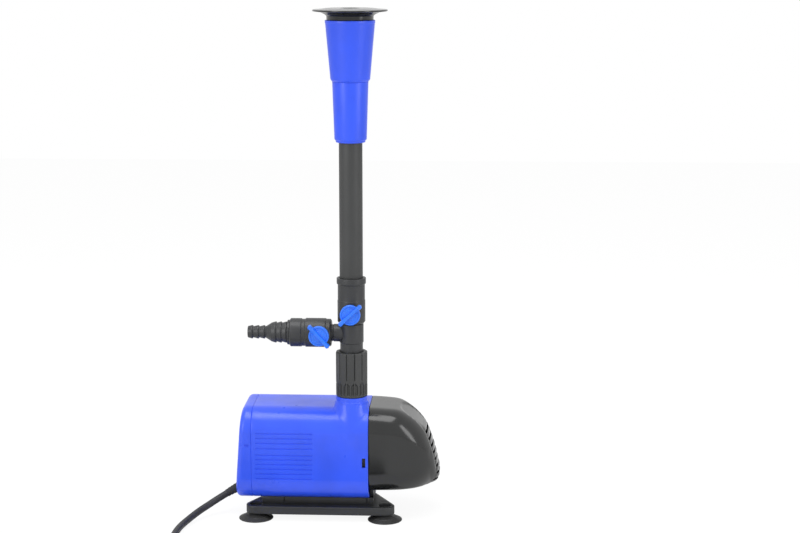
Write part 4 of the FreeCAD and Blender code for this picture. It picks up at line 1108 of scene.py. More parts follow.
@dataclass
class IntakeNose:
    """Glossy black intake cover with a sunk front panel and eight louvres."""

    start: float = 32.6
    spigot: float = 28.3
    half: float = 46.0
    low: float = 29.2
    high: float = 115.7
    corner: float = 24.0
    wall: float = 2.5
    tip: float = 103.1
    taper: float = 42.5
    squareness: float = 2.4
    crown: Sequence[Point] = (
        (32.6, 115.7),
        (48.0, 114.9),
        (62.0, 113.2),
        (73.0, 107.5),
        (82.0, 100.5),
        (90.0, 91.6),
        (96.0, 79.0),
        (100.4, 64.5),
        (102.4, 53.7),
        (103.1, 48.2),
    )
    keel: Sequence[Point] = (
        (32.6, 0.0),
        (48.0, 0.2),
        (62.0, 0.4),
        (73.0, 0.8),
        (82.0, 1.5),
        (90.0, 2.8),
        (96.0, 4.6),
        (100.4, 7.0),
        (102.4, 9.4),
        (103.1, 12.0),
    )
    louvres: int = 8
    louvre_low: float = 39.2
    louvre_pitch: float = 7.15
    louvre_height: float = 2.9
    louvre_half: float = 18.0
    panel_half: float = 20.5
    panel_depth: float = 1.1

    def top_line(self, spacing: float) -> list[tuple[float, float]]:
        """Points of the crown at an even spacing along it.

        Args:
            spacing: millimetres from one to the next.

        Returns:
            Pairs of x and height.
        """
        dense = []
        points = [Vector(point) for point in self.crown]
        points = [points[0] * 2 - points[1]] + points + [points[-1] * 2 - points[-2]]
        for a, b, c, d in zip(points, points[1:], points[2:], points[3:]):
            for step in range(40):
                t = step / 40
                dense.append(
                    0.5
                    * (
                        2 * b
                        + (c - a) * t
                        + (2 * a - 5 * b + 4 * c - d) * t**2
                        + (3 * b - a - 3 * c + d) * t**3
                    )
                )
        dense.append(points[-2])
        line = [dense[0]]
        for point in dense:
            if (point - line[-1]).length >= spacing:
                line.append(point)
        return [(point.x, point.y) for point in line]

    def width(self, x: float) -> float:
        """Half width of the plan outline at x."""
        if x <= self.taper:
            return self.half
        share = (x - self.taper) / (self.tip + 0.6 - self.taper)
        return self.half * (1 - share**self.squareness) ** (1 / self.squareness)

    def section(self, x: float, high: float, inset: float) -> list[tuple[float, float, float]]:
        """Section of the nose at x under a crown height, drawn in by inset."""
        half = max(self.width(x) - inset, 1.5)
        low = self.low + Bend(self.keel).at(x) + inset
        high = max(high - inset, low + 3)
        radius = max(0.5, min(self.corner - inset, 0.97 * half, 0.485 * (high - low)))
        lead = radius / (high - low)
        return arc_section(x, half, low, high, radius, between(lead, 1 - lead, 27), between(-1, 1, 13))

    def sink(self, point: Vector) -> float:
        """How far the front panel is sunk at a point."""
        across = 1 - smoothstep(self.panel_half - 0.9, self.panel_half + 0.9, abs(point.y))
        start = 63 + 7 * (abs(point.y) / self.panel_half) ** 3
        along = smoothstep(start, start + 1.8, point.x)
        fade = smoothstep(46, 62, point.z)
        return self.panel_depth * across * along * fade

    def cover(self) -> bpy.types.Object:
        """The cover as one shell with its spigot, panel and louvres."""
        outer = [self.section(self.spigot, self.high, self.wall + 0.5)]
        outer.append(self.section(self.start, self.high, self.wall + 0.5))
        outer.append(self.section(self.start, self.high, 0.5))
        outer.append(self.section(self.start + 0.25, self.high, 0.12))
        line = self.top_line(1.15)
        outer += [self.section(x, z, 0) for x, z in line if x > self.start + 0.8]
        inner_line = [(x, z) for x, z in line[::3] if 36 < x < 96]
        inner = []
        for x, z in reversed(inner_line):
            thicker = 4 * smoothstep(66, 97, x)
            inner.append(self.section(x, z, self.wall + 0.4 + thicker))
        inner.append(self.section(34.6, self.high, self.wall + 2.6))
        inner.append(self.section(self.spigot, self.high, self.wall + 2.6))
        skin = Skin()
        numbers = [skin.ring(ring) for ring in outer]
        for first, second in zip(numbers, numbers[1:]):
            skin.bridge(first, second)
        skin.faces.append(tuple(numbers[-1]))
        depth = [skin.ring(ring) for ring in inner]
        for first, second in zip(depth, depth[1:]):
            skin.bridge(first, second)
        skin.faces.append(tuple(reversed(depth[0])))
        skin.bridge(depth[-1], numbers[0])
        made = skin.object("intake_nose")
        self.sculpt(made)
        for index in range(self.louvres):
            combine(made, self.louvre(index))
        for side in (-1, 1):
            low_y, high_y = sorted((side * 42.6, side * 40.6))
            tongue = block((24.3, low_y, 58.8), (self.start + 1, high_y, 68.2))
            combine(made, tongue, Merge.JOIN)
        return dress(made, NOSE_BLACK, "intake", ["intake_cover"], 30)

    def sculpt(self, made: bpy.types.Object) -> None:
        """Sinks the front panel and swells the ribs between the louvres."""
        shift = Vector((0, DATUM_Y, 0))
        work = bmesh.new()
        work.from_mesh(made.data)
        work.normal_update()
        moves = []
        for vert in work.verts:
            point = vert.co / MM - shift
            if point.x < 55 or vert.normal.x < 0.02 and point.x < 62:
                continue
            outward = vert.normal.dot(Vector((1, point.y / 40, (point.z - 60) / 60))) > 0
            if not outward:
                continue
            push = -self.sink(point)
            across = 1 - smoothstep(self.louvre_half - 1, self.louvre_half + 1.5, abs(point.y))
            place = (point.z - self.louvre_low) / self.louvre_pitch
            if point.x > 80 and -0.8 < place < self.louvres - 0.2:
                push += 0.55 * across * (0.5 - 0.5 * math.cos(2 * math.pi * place))
            moves.append((vert, vert.normal * push * MM))
        for vert, move in moves:
            vert.co += move
        work.to_mesh(made.data)
        work.free()

    def louvre(self, index: int) -> Skin:
        """Cutter of one louvre, with rounded ends, square to the front there."""
        z = self.louvre_low + index * self.louvre_pitch
        front = [x for x, top in self.top_line(0.5) if top > z][-1]
        tilt = math.radians(max(0, index - self.louvres // 2 + 1) * 7.5)
        outline = []
        reach = self.louvre_half - self.louvre_height / 2
        for side in (1, -1):
            for turn in between(-math.pi / 2, math.pi / 2, 9):
                y = side * (reach + self.louvre_height / 2 * math.cos(turn))
                outline.append((y, side * self.louvre_height / 2 * math.sin(turn)))
        skin = Skin()
        skin.loft([[(x, y, h) for y, h in outline] for x in (-17, 14)])
        aim = Matrix.Translation((front, 0, z)) @ Matrix.Rotation(-tilt, 4, "Y")
        return skin.placed(aim)

    def build(self) -> None:
        """Builds the cover."""
        self.cover()


# --- outlet, tee and cocks ------------------------------------------------------

@dataclass
class UnionNut:
    """Union nut with wide flutes above a step and fine ribs below it."""

    low: float = 128.3
    high: float = 174.0
    radius: float = 16.15
    step: float = 146.0
    flutes: int = 12
    ribs: int = 24
    bore: float = 13.3
    lip_z: float = 157.6
    lip_r: float = 11.8

    def grip(self, turn: float, z: float) -> float:
        """Radius of the grip at an angle and a height."""
        panel = 2 * math.pi / self.flutes
        local = (turn / panel + 0.5) % 1 - 0.5
        flat = self.radius * math.cos(panel / 2) / math.cos(local * panel) + 0.12
        groove = 1 - smoothstep(0.0, 0.1, 0.5 - abs(local))
        upper = min(self.radius, flat) - 1.0 * groove
        shield = (
            self.step - 5.5 * math.sqrt(max(0.0, 1 - (local / 0.42) ** 2))
            if abs(local) < 0.42
            else self.step
        )
        rib = (turn / (2 * math.pi) * self.ribs + 0.5) % 1 - 0.5
        ridge = 1 - smoothstep(0.16, 0.3, abs(rib))
        lower = self.radius - 1.5 + 1.25 * ridge
        skirt = 1 - smoothstep(self.low + 2.2, self.low + 3.0, z)
        lower = lower + (self.radius - 0.25 - lower) * skirt
        share = smoothstep(shield - 0.5, shield + 0.5, z)
        radius = lower + (upper - lower) * share
        edge = min(1.0, (z - self.low) / 0.8, (self.high - z) / 1.4)
        return radius - 1.1 * (1 - math.sqrt(max(0.0, 1 - (1 - edge) ** 2)))

    def build(self) -> None:
        """Builds the nut round its bore."""
        heights = [self.low, self.low + 0.15, self.low + 0.4, self.low + 0.8]
        heights += between(self.low + 1.4, self.high - 1.6, 62)
        heights += [self.high - 1.0, self.high - 0.5, self.high - 0.2, self.high]
        skin = shaped(heights, self.grip, 288)
        made = skin.placed(upright()).object("union_nut_grip")
        bore = [
            (0, self.low - 1), (self.bore, self.low - 1), (self.bore, self.lip_z),
            (self.lip_r, self.lip_z),
        ]
        bore += [(self.lip_r, self.high - 0.8), (self.lip_r + 1.1, self.high + 0.4), (0, self.high + 0.4)]
        combine(made, turned(bore, 96, 0).placed(upright()))
        dress(made, TUBE_BLACK, "nut", ["union_nut"], 30)


@dataclass
class ValveTee:
    """Tee with a cock in the riser, a cock in the side branch and a stepped hose tail."""

    tee_r: float = 11.5
    foot: float = 152.3
    top: float = 206.5
    flange_r: float = 12.9
    flange: float = 5.0
    water_r: float = 9.5
    branch_z: float = 192.7
    branch_r: float = 8.45
    branch_water: float = 5.5
    side_r: float = 14.65
    side_x: Point = (-47.6, -5.7)
    branch_seat: float = 3.2
    tail_seat: float = 8.0
    body_r: float = 14.0
    body_low: float = 203.3
    body_high: float = 249.5
    socket_depth: float = 24.0
    collar_r: float = 14.7
    collar: float = 6.0
    tube_r: float = 11.78
    riser_cock_z: float = 214.5
    side_cock_x: float = -17.1
    plug_r: float = 7.5
    plug_back: float = 8.5
    plug_front: float = 11.0
    stem_r: float = 4.58
    knob_face: float = 19.6
    knob_thick: float = 4.0
    tail_tip: float = -90.5
    small_r: float = 6.8
    large_r: float = 10.7
    barb: float = 1.0
    small_end: float = -72.2
    large_start: float = -66.0
    flange_x: float = -50.0
    tail_flange_r: float = 12.5
    tail_bore: float = 4.2

    def tee(self) -> None:
        """Upright pipe with beads and the branch towards the side cock."""
        r, foot, top = self.tee_r, self.foot, self.top
        pipe = [
            (0, foot), (self.flange_r, foot), (self.flange_r, foot + self.flange),
            (r, foot + self.flange),
        ]
        pipe += [(r, 183.0), (r + 0.7, 183.6), (r + 0.7, 202.2), (r, 202.8), (r, top), (0, top)]
        made = turned(pipe, 96, 0.4).placed(upright()).object("tee_pipe")
        length = RISER[0] - self.side_x[1] + self.branch_seat
        branch = [(0, 0), (self.branch_r, 0), (self.branch_r, 5.4), (self.branch_r + 0.5, 5.8)]
        branch += [(self.branch_r + 0.5, length), (0, length)]
        start = self.side_x[1] - self.branch_seat
        combine(made, turned(branch, 72, 0.3).placed(lying(start, RISER[1], self.branch_z)), Merge.JOIN)
        bore = turned(
            [(0, foot - 1), (self.water_r, foot - 1), (self.water_r, top + 1), (0, top + 1)], 72,
            0,
        )
        combine(made, bore.placed(upright()))
        side = turned([(0, -1), (self.branch_water, -1), (self.branch_water, length), (0, length)], 48, 0)
        combine(made, side.placed(lying(start, RISER[1], self.branch_z)))
        dress(made, BLACK, "tee", ["tee"])

    def cock_room(self, made: bpy.types.Object, x: float, z: float) -> None:
        """Cuts the seat of a plug and its stem into a valve body."""
        front, back, face = self.plug_front, self.plug_back, self.knob_face
        seat = [(0, -back), (self.plug_r, -back), (self.plug_r, front), (self.stem_r, front)]
        seat += [(self.stem_r, face), (0, face)]
        combine(made, turned(seat, 64, 0).placed(facing(x, RISER[1], z)))

    def neck(self, made: bpy.types.Object, x: float, z: float) -> None:
        """Adds the short neck behind a knob."""
        end = self.knob_face - self.knob_thick - 0.3
        outline = [(0, 6), (7.4, 6), (7.0, end - 1.2), (7.0, end), (0, end)]
        combine(made, turned(outline, 64, 0.3).placed(facing(x, RISER[1], z)), Merge.JOIN)

    def riser_body(self) -> None:
        """Body of the riser's cock, with the socket and collar of the tube."""
        r, low, high = self.body_r, self.body_low, self.body_high
        shoulder = high - self.collar
        outline = [
            (0, low), (r - 1.4, low), (r, low + 1.8), (r, 226.4), (r - 0.35, 227.0),
            (r - 0.35, shoulder - 0.4),
        ]
        outline += [
            (self.collar_r - 0.2, shoulder), (self.collar_r, shoulder + 0.8),
            (self.collar_r, high), (0, high),
        ]
        made = turned(outline, 112, 0.6).placed(upright()).object("riser_valve_case")
        self.neck(made, RISER[0], self.riser_cock_z)
        bottom = high - self.socket_depth
        bore = [(0, low - 1), (self.tee_r, low - 1), (self.tee_r, self.top), (self.branch_water, self.top)]
        bore += [(self.branch_water, bottom), (self.tube_r, bottom), (self.tube_r, high - 0.7)]
        bore += [(self.tube_r + 0.9, high + 0.3), (0, high + 0.3)]
        combine(made, turned(bore, 96, 0).placed(upright()))
        self.cock_room(made, RISER[0], self.riser_cock_z)
        dress(made, BLACK, "tee", ["riser_valve_body"])

    def side_body(self) -> None:
        """Body of the side cock: a barrel with end collars and a parting bead."""
        x0, x1 = self.side_x
        r, length = self.side_r, x1 - x0
        outline = [(0, 0), (r - 1.4, 0), (r - 0.3, 1.0), (r - 0.3, 11.6), (r - 0.9, 12.2), (r - 0.9, 15.4)]
        outline += [(r, 16.2), (r, length - 5.8), (r - 0.7, length - 5.2), (r - 0.7, length - 1.2)]
        outline += [(r - 1.9, length), (0, length)]
        made = turned(outline, 112, 0.5).placed(lying(x0, RISER[1], self.branch_z)).object("side_valve_case")
        self.neck(made, self.side_cock_x, self.branch_z)
        bore = [
            (0, -1), (self.branch_r, -1), (self.branch_r, self.tail_seat),
            (self.branch_water, self.tail_seat),
        ]
        bore += [(self.branch_water, length - self.branch_seat), (self.branch_r, length - self.branch_seat)]
        bore += [(self.branch_r, length + 1), (0, length + 1)]
        combine(made, turned(bore, 72, 0).placed(lying(x0, RISER[1], self.branch_z)))
        self.cock_room(made, self.side_cock_x, self.branch_z)
        dress(made, BLACK, "tee", ["side_valve_body"])

    def barbs(self, start: float, end: float, crest: float, count: int) -> list[Point]:
        """Outline of one hose step, rising away from the tip.

        Args:
            start: where the step begins.
            end: where it ends.
            crest: radius over the barbs.
            count: how many barbs it has.

        Returns:
            Pairs of radius and x.
        """
        pitch = (end - start) / count
        points: list[Point] = []
        for index in range(count):
            base = start + index * pitch
            points += [
                (crest - self.barb, base + 0.2), (crest, base + 0.66 * pitch),
                (crest, base + 0.84 * pitch),
            ]
            points.append((crest - self.barb, base + 0.92 * pitch))
        return points

    def hose_tail(self) -> None:
        """Stepped tail for two sizes of hose."""
        outline: list[Point] = [(self.tail_bore, self.tail_tip)]
        outline += self.barbs(self.tail_tip, self.small_end, self.small_r, 3)
        outline.append((self.small_r - self.barb, self.small_end))
        outline.append((self.large_r - self.barb, self.large_start))
        outline += self.barbs(self.large_start, self.flange_x, self.large_r, 3)
        flange_r, x0 = self.tail_flange_r, self.side_x[0]
        outline += [(flange_r, self.flange_x), (flange_r, x0), (self.branch_r - 0.05, x0)]
        outline += [(self.branch_r - 0.05, x0 + self.tail_seat), (self.tail_bore, x0 + self.tail_seat)]
        skin = turned(outline, 96, 0.35).placed(lying(0, RISER[1], self.branch_z))
        dress(skin.object("stepped_hose_tail"), BLACK, "tee", ["hose_tail"])

    def build(self) -> None:
        """Builds all the pieces of the tee's body."""
        self.tee()
        self.riser_body()
        self.side_body()
        self.hose_tail()


@dataclass
class CockKnob:
    """Blue knob of a cock: a rimmed disc with a tapered wing across it."""

    name: str
    body: str
    node: str
    x: float
    z: float
    angle: float
    face: float = 19.6
    thick: float = 4.0
    radius: float = 10.25
    length: float = 30.0
    width: float = 4.4
    height: float = 4.0

    def wing(self) -> Skin:
        """The wing: narrow at its waist, wide and raised at its rounded tips."""
        half = self.length / 2
        rings = []
        for step in between(-1, 1, 33):
            along = step * half
            end = math.sqrt(max(0.0, 1 - max(0.0, abs(step) - 0.9) ** 2 / 0.01))
            wide = self.width / 2 * (0.74 + 0.26 * abs(step) ** 1.5) * max(end, 0.12)
            lift = self.height * (0.72 + 0.28 * smoothstep(0.35, 0.8, abs(step))) * (0.55 + 0.45 * max(end, 0.1))
            ring = []
            for across, up in (
                (-1, -1.5),
                (-1, 0.75),
                (-0.8, 0.93),
                (-0.4, 1),
                (0.4, 1),
                (0.8, 0.93),
                (1, 0.75),
                (1, -1.5),
            ):
                level = up * lift if up > 0 else up
                ring.append((along, wide * across, level))
            rings.append(ring)
        skin = Skin()
        skin.loft(rings)
        return skin

    def build(self) -> None:
        """Builds the disc with its raised rim and arcs, and joins the wing."""
        r, back = self.radius, -self.thick
        outline = [(0, back), (r - 0.5, back), (r, back + 0.6), (r, -0.5), (r - 0.5, 0), (r - 1.6, 0)]
        outline += [(r - 2.0, -0.7), (r - 4.4, -0.7), (r - 4.8, -0.2), (0, -0.2)]
        place = facing(self.x, RISER[1] - self.face, self.z)
        made = turned(outline, 96, 0.25).placed(place).object(self.name)
        spin = Matrix.Rotation(math.radians(self.angle), 4, "Z")
        combine(made, self.wing().placed(place @ spin), Merge.JOIN)
        dress(made, KNOB_BLUE, self.body, [self.node], 34)


# --- riser and nozzle -----------------------------------------------------------

@dataclass
class Nozzle:
    """Riser tube, two cones and the water-bell disc."""

    tube_r: float = 11.7
    tube_wall: float = 1.8
    tube_z: Point = (225.8, 429.8)
    foot: float = 385.8
    joint: float = 445.5
    top: float = 505.5
    foot_r: float = 14.6
    skirt_r: float = 16.0
    joint_r: float = 17.9
    step_r: float = 19.6
    neck_r: float = 24.4
    lip_r: float = 24.7
    cone_wall: float = 1.6
    stop_r: float = 10.2
    socket_r: float = 14.6
    hub_r: float = 6.0
    rim_r: float = 37.0
    disc_top: float = 517.0

    def tube(self) -> None:
        """Riser tube with eased ends."""
        (z0, z1), r, inner = self.tube_z, self.tube_r, self.tube_r - self.tube_wall
        outline = [(inner, z0), (r, z0), (r, (z0 + z1) / 2), (r, z1), (inner, z1)]
        skin = turned(outline, 112, 0.5).placed(upright())
        dress(skin.object("riser_pipe"), TUBE_BLACK, "riser", ["riser_tube"])

    def lower(self) -> None:
        """Lower cone, pushed over the tube, with a foot bead."""
        stop = self.tube_z[1]
        outline = [
            (self.tube_r + 0.1, self.foot), (self.foot_r, self.foot),
            (self.foot_r + 0.15, self.foot + 1.6),
        ]
        outline += [
            (self.skirt_r, self.foot + 3.0), (self.joint_r, self.joint),
            (self.socket_r, self.joint),
        ]
        outline += [
            (self.socket_r, stop + 3), (self.stop_r, stop + 3), (self.stop_r, stop),
            (self.tube_r + 0.1, stop),
        ]
        skin = turned(outline, 112, 0.35).placed(upright())
        dress(skin.object("cone_lower"), CONE_BLUE, "riser", ["lower_cone"])

    def upper(self) -> None:
        """Upper cone with its step, lip and the hub that carries the disc."""
        wall, spigot = self.cone_wall, self.socket_r - 0.1
        outline = [(spigot - 2, self.joint - 9), (spigot, self.joint - 9), (spigot, self.joint + 0.05)]
        outline += [(self.joint_r, self.joint + 0.05), (self.step_r, self.joint + 2.5)]
        outline += [(self.neck_r, self.top - 3), (self.lip_r, self.top - 2.4), (self.lip_r, self.top)]
        outline += [
            (self.lip_r - wall, self.top), (self.step_r - wall, self.joint + 4.5),
            (spigot - 2, self.joint),
        ]
        made = turned(outline, 112, 0.5).placed(upright()).object("cone_upper")
        low, high = self.joint + 6.5, self.joint + 18.5
        for index in range(3):
            web = block((2, -1, low), (self.step_r - wall / 2, 1, low + 8))
            combine(
                made, web.placed(upright() @ Matrix.Rotation(2 * math.pi * index / 3, 4, "Z")),
                Merge.JOIN,
            )
        hub = turned([(3.08, low), (self.hub_r, low), (self.hub_r, high), (3.08, high)], 48, 0.4)
        combine(made, hub.placed(upright()), Merge.JOIN)
        clear = turned([(0, low - 1), (3.08, low - 1), (3.08, high + 1), (0, high + 1)], 48, 0)
        combine(made, clear.placed(upright()))
        dress(made, CONE_BLUE, "riser", ["upper_cone"])

    def disc(self) -> None:
        """Bell disc: plug inside the cone, neck, thin rolled rim, dished top."""
        inside = self.lip_r - self.cone_wall - 0.6
        base, top = self.top, self.disc_top
        outline = [
            (0, base - 33.5), (9.0, base - 33.5), (inside, base - 1), (inside, base + 0.3),
            (23.2, base + 0.3),
        ]
        outline += [(23.2, base + 4.0), (25.0, base + 5.6), (29.2, base + 7.6), (36.0, base + 8.5)]
        outline += [(self.rim_r, base + 8.8), (self.rim_r, base + 9.9), (36.2, base + 10.3)]
        outline += [(31.0, top - 0.9), (24.0, top), (10.0, top), (9.0, top - 0.7), (0, top - 0.7)]
        skin = turned(outline, 144, 0.5).placed(upright())
        dress(skin.object("bell_plate"), NOSE_BLACK, "bell", ["bell_disc"])

    def build(self) -> None:
        """Builds the riser and nozzle."""
        self.tube()
        self.lower()
        self.upper()
        self.disc()


# --- base and feet --------------------------------------------------------------

@dataclass
class Base:
    """Foot plate with four ears, the cradle under the housing and suction cups."""

    low: float = 6.8
    high: float = 15.2
    ear_r: float = 9.8
    feet: Sequence[Point] = ((-83.5, -32.0), (48.5, -32.0), (14.5, 32.0), (-50.5, 32.0))
    cradle_x: Point = (-77.5, 36.5)
    cradle_half: float = 29.0
    stop_x: float = 32.6
    stop_top: float = 28.7
    stop_half: float = 20.0
    housing_half: float = 46.5
    housing_low: float = 21.0
    housing_r: float = 25.0
    cup_r: float = 17.5
    neck_r: float = 3.5
    head_r: float = 5.6
    hole_r: float = 6.2
    head_z: Point = (10.4, 13.2)

    def plate(self) -> None:
        """Foot plate with rounded ears and sunk ear holes."""
        rim: list[tuple[float, float]] = []
        count = len(self.feet)
        for index, (x, y) in enumerate(self.feet):
            ahead = Vector(self.feet[(index + 1) % count]) - Vector((x, y))
            behind = Vector((x, y)) - Vector(self.feet[index - 1])
            start = math.atan2(-behind.x, behind.y)
            end = math.atan2(-ahead.x, ahead.y)
            while end < start:
                end += 2 * math.pi
            for turn in between(start, end, 13):
                rim.append((x + self.ear_r * math.cos(turn), y + self.ear_r * math.sin(turn)))
        skin = Skin()
        skin.loft([[(x, y, z) for x, y in rim] for z in (self.low, self.high)])
        made = skin.object("foot_plate")
        bevelled(made, 0.9, 3, 50)
        for x, y in self.feet:
            hole = [
                (0, 5), (self.neck_r + 0.1, 5), (self.neck_r + 0.1, self.head_z[0]),
                (self.hole_r, self.head_z[0]),
            ]
            hole += [
                (self.hole_r, self.high - 0.6), (self.hole_r + 0.7, self.high + 0.1),
                (0, self.high + 0.1),
            ]
            combine(made, turned(hole, 48, 0).placed(upright(x, y)))
        dress(made, BASE_BLACK, "pump", ["base_plate"], 36)

    def cradle(self) -> None:
        """Cradle with walls shaped to the housing and an end stop in front."""
        flat = self.housing_half - self.housing_r

        def under(y: float) -> float:
            """Height of the housing's underside at y."""
            away = max(0.0, abs(y) - flat)
            return self.housing_low + self.housing_r - math.sqrt(self.housing_r**2 - away**2)

        across = between(-self.cradle_half, self.cradle_half, 27)
        outline = [(-self.cradle_half, self.high - 0.4), (self.cradle_half, self.high - 0.4)]
        outline += [(y, under(y) - 0.03) for y in reversed(across)]
        skin = Skin()
        skin.loft([[(x, y, z) for y, z in outline] for x in (self.cradle_x[0], self.stop_x)])
        made = skin.object("housing_cradle")
        bevelled(made, 0.6, 2, 60)
        stop = block(
            (self.stop_x - 0.2, -self.cradle_half, self.high - 0.4),
            (self.cradle_x[1], self.cradle_half, 22.0),
        )
        combine(made, stop, Merge.JOIN)
        end = block(
            (self.stop_x, -self.stop_half, 20.5),
            (self.cradle_x[1] - 0.4, self.stop_half, self.stop_top),
        )
        combine(made, end, Merge.JOIN)
        for x in (self.stop_x - 3.6, self.cradle_x[0] + 22):
            notch = block((x, -self.cradle_half - 1, self.high + 1), (x + 1.6, -self.cradle_half + 1.1, 24))
            combine(made, notch)
        dress(made, BASE_BLACK, "pump", ["cradle"], 36)

    def cups(self) -> None:
        """Four suction cups: thin lip, domed back, stud through the ear."""
        r, neck, (head_low, head_high) = self.cup_r, self.neck_r, self.head_z
        outline = [(0, 2.6), (8, 2.1), (r - 2.6, 0.15), (r - 1.6, 0), (r, 0.1), (r, 0.9), (r - 1.4, 1.5)]
        outline += [
            (13.2, 2.9), (12.4, 3.5), (9.0, 4.3), (7.2, 5.4), (neck + 2.2, self.low),
            (neck, self.low),
        ]
        outline += [
            (neck, head_low), (self.head_r, head_low), (self.head_r, 11.6),
            (self.head_r - 1.4, head_high),
        ]
        outline += [(2.0, head_high), (1.6, head_high - 0.7), (0, head_high - 0.7)]
        whole = Skin()
        for x, y in self.feet:
            whole.add(turned(outline, 80, 0.4).placed(upright(x, y)))
        dress(whole.object("suction_feet"), CUP_RUBBER, "pump", ["suction_cups"])

    def build(self) -> None:
        """Builds the base."""
        self.plate()
        self.cradle()
        self.cups()


# --- carried-over nodes and the studio --------------------------------------------

CARRIED = {
    "rear_cover_screws": SCREWS,
    "filter_sponge": FOAM,
    "motor_case": BLACK,
    "rotor_can": BLACK,
    "stator_core": CORE,
    "upper_winding": COPPER,
    "lower_winding": COPPER,
    "potting_resin": RESIN,
    "shaft": SHAFT,
    "rear_bush": SEAL_RUBBER,
    "front_bush": SEAL_RUBBER,
    "rotor_magnet": FERRITE,
    "rotor_sleeve": WHITE,
    "impeller": WHITE,
    "volute": BLACK,
    "chamber_cover": BLACK,
    "chamber_seal": SEAL_RUBBER,
    "outlet_gasket": SEAL_RUBBER,
    "riser_valve_plug": BLACK,
    "riser_valve_seal": SEAL_RUBBER,
    "side_valve_plug": BLACK,
    "side_valve_seal": SEAL_RUBBER,
    "bell_stem": NOSE_BLACK,
    "base_screws": SCREWS,
    "plug_pins": PINS,
}


def dress_carried() -> None:
    """Gives the nodes that keep their CAD shape their materials."""
    for name, finish in CARRIED.items():
        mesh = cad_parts[name].data
        mesh.materials.clear()
        mesh.materials.append(finish.material())


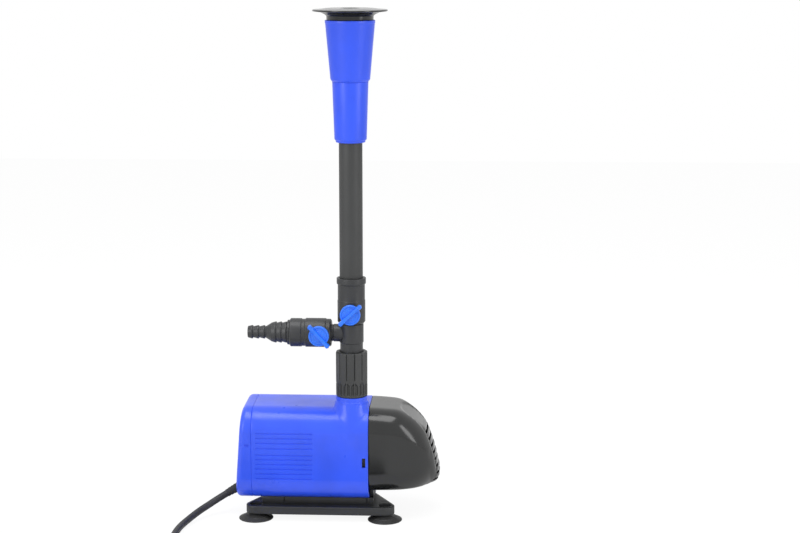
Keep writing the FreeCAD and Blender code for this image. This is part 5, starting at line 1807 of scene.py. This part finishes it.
@dataclass
class Studio:
    """White floor and world, three softboxes and the camera."""

    eye: Point = (149.9, -1786.75, 583.0)
    ahead: Point = (-0.0488, 0.9988)
    dip: float = 10.3
    lens: float = 81.0
    floor_half: float = 3.0
    world_light: float = 0.62

    def camera(self) -> None:
        """Puts the camera at its place and aims it."""
        data = bpy.data.cameras.new("view")
        data.lens = self.lens
        data.sensor_width = 36
        data.clip_end = 50
        dip = math.radians(self.dip)
        aim = Vector((self.ahead[0] * math.cos(dip), self.ahead[1] * math.cos(dip), -math.sin(dip)))
        made = bpy.data.objects.new("view", data)
        made.location = Vector(self.eye) * MM
        made.rotation_euler = aim.to_track_quat("-Z", "Y").to_euler()
        bpy.context.scene.collection.objects.link(made)
        bpy.context.scene.camera = made

    def softbox(self, name: str, place: Point, size: Point, power: float, target: Point) -> None:
        """Hangs one softbox.

        Args:
            name: its name.
            place: where it hangs, in metres.
            size: its width and height in metres.
            power: watts.
            target: the point that it faces.
        """
        data = bpy.data.lights.new(name, "AREA")
        data.shape = "RECTANGLE"
        data.size, data.size_y = size
        data.energy = power
        made = bpy.data.objects.new(name, data)
        made.location = place
        aim = Vector(target) - Vector(place)
        made.rotation_euler = aim.to_track_quat("-Z", "Y").to_euler()
        bpy.context.scene.collection.objects.link(made)

    def floor(self) -> None:
        """White floor that keeps the object's shadow."""
        skin = Skin()
        half = self.floor_half / MM
        skin.points = [
            Vector((x, y - DATUM_Y, 0))
            for x, y in ((-half, -half), (half, -half), (half, half), (-half, half))
        ]
        skin.faces = [(0, 1, 2, 3)]
        made = skin.object("floor")
        graph = Graph("floor_white")
        graph.set(Base_Color=(0.9, 0.9, 0.9, 1), Roughness=0.9, Specular_IOR_Level=0.1)
        rays = graph.node("ShaderNodeLightPath", {}, {}).outputs
        seen = Field(graph, rays["Is Camera Ray"]) * 0.87
        glow = graph.node("ShaderNodeEmission", {}, {"Color": (1, 1, 1, 1), "Strength": 1.04})
        mix = graph.node(
            "ShaderNodeMixShader", {}, {0: seen, 1: graph.shader.outputs[0], 2: glow.outputs[0]},
        )
        graph.feed(graph.output.inputs["Surface"], mix.outputs[0])
        made.data.materials.append(graph.material)

    def world(self) -> None:
        """White world: full for what is seen or mirrored, less as a light."""
        world = bpy.data.worlds.new("white_room")
        world.use_nodes = True
        bpy.context.scene.world = world
        tree = world.node_tree
        tree.nodes.clear()
        rays = tree.nodes.new("ShaderNodeLightPath")
        most = tree.nodes.new("ShaderNodeMath")
        plain = tree.nodes.new("ShaderNodeMath")
        for node in (most, plain):
            node.operation = "MAXIMUM"
        tree.links.new(rays.outputs["Is Camera Ray"], plain.inputs[0])
        tree.links.new(rays.outputs["Is Transmission Ray"], plain.inputs[1])
        tree.links.new(plain.outputs[0], most.inputs[0])
        tree.links.new(rays.outputs["Is Glossy Ray"], most.inputs[1])
        low = tree.nodes.new("ShaderNodeBackground")
        low.inputs["Strength"].default_value = self.world_light
        high = tree.nodes.new("ShaderNodeBackground")
        for shader in (low, high):
            shader.inputs["Color"].default_value = (1, 1, 1, 1)
        mix = tree.nodes.new("ShaderNodeMixShader")
        output = tree.nodes.new("ShaderNodeOutputWorld")
        tree.links.new(most.outputs[0], mix.inputs[0])
        tree.links.new(low.outputs[0], mix.inputs[1])
        tree.links.new(high.outputs[0], mix.inputs[2])
        tree.links.new(mix.outputs[0], output.inputs["Surface"])

    def build(self) -> None:
        """Sets floor, world and lamps."""
        bpy.context.scene.view_settings.view_transform = "Standard"
        self.floor()
        self.world()
        middle = (0.02, 0.0, 0.2)
        self.softbox("overhead", (-0.1, -0.25, 1.7), (1.3, 0.9), 15.0, (0, 0, 0.1))
        self.softbox("front_left", (-1.3, -1.4, 0.9), (0.7, 1.2), 13.0, middle)
        self.softbox("front_right", (1.5, -0.9, 0.8), (0.5, 1.3), 9.0, middle)


def main() -> None:
    """Builds the view, the cord and then every other piece."""
    logging.basicConfig(level=logging.INFO, format="%(name)s: %(message)s")
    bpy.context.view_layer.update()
    studio = Studio()
    studio.camera()
    MainsCord().build()
    tee = ValveTee()
    riser_knob = CockKnob("riser_knob", "riser_cock", "riser_valve_knob", RISER[0], tee.riser_cock_z, 42.5)
    side_knob = CockKnob("side_knob", "side_cock", "side_valve_knob", tee.side_cock_x, tee.branch_z, -47.5)
    for part in (Housing(), IntakeNose(), UnionNut(), tee, riser_knob, side_knob, Nozzle(), Base()):
        part.build()
    dress_carried()
    studio.build()


if __name__ == "__main__":
    main()
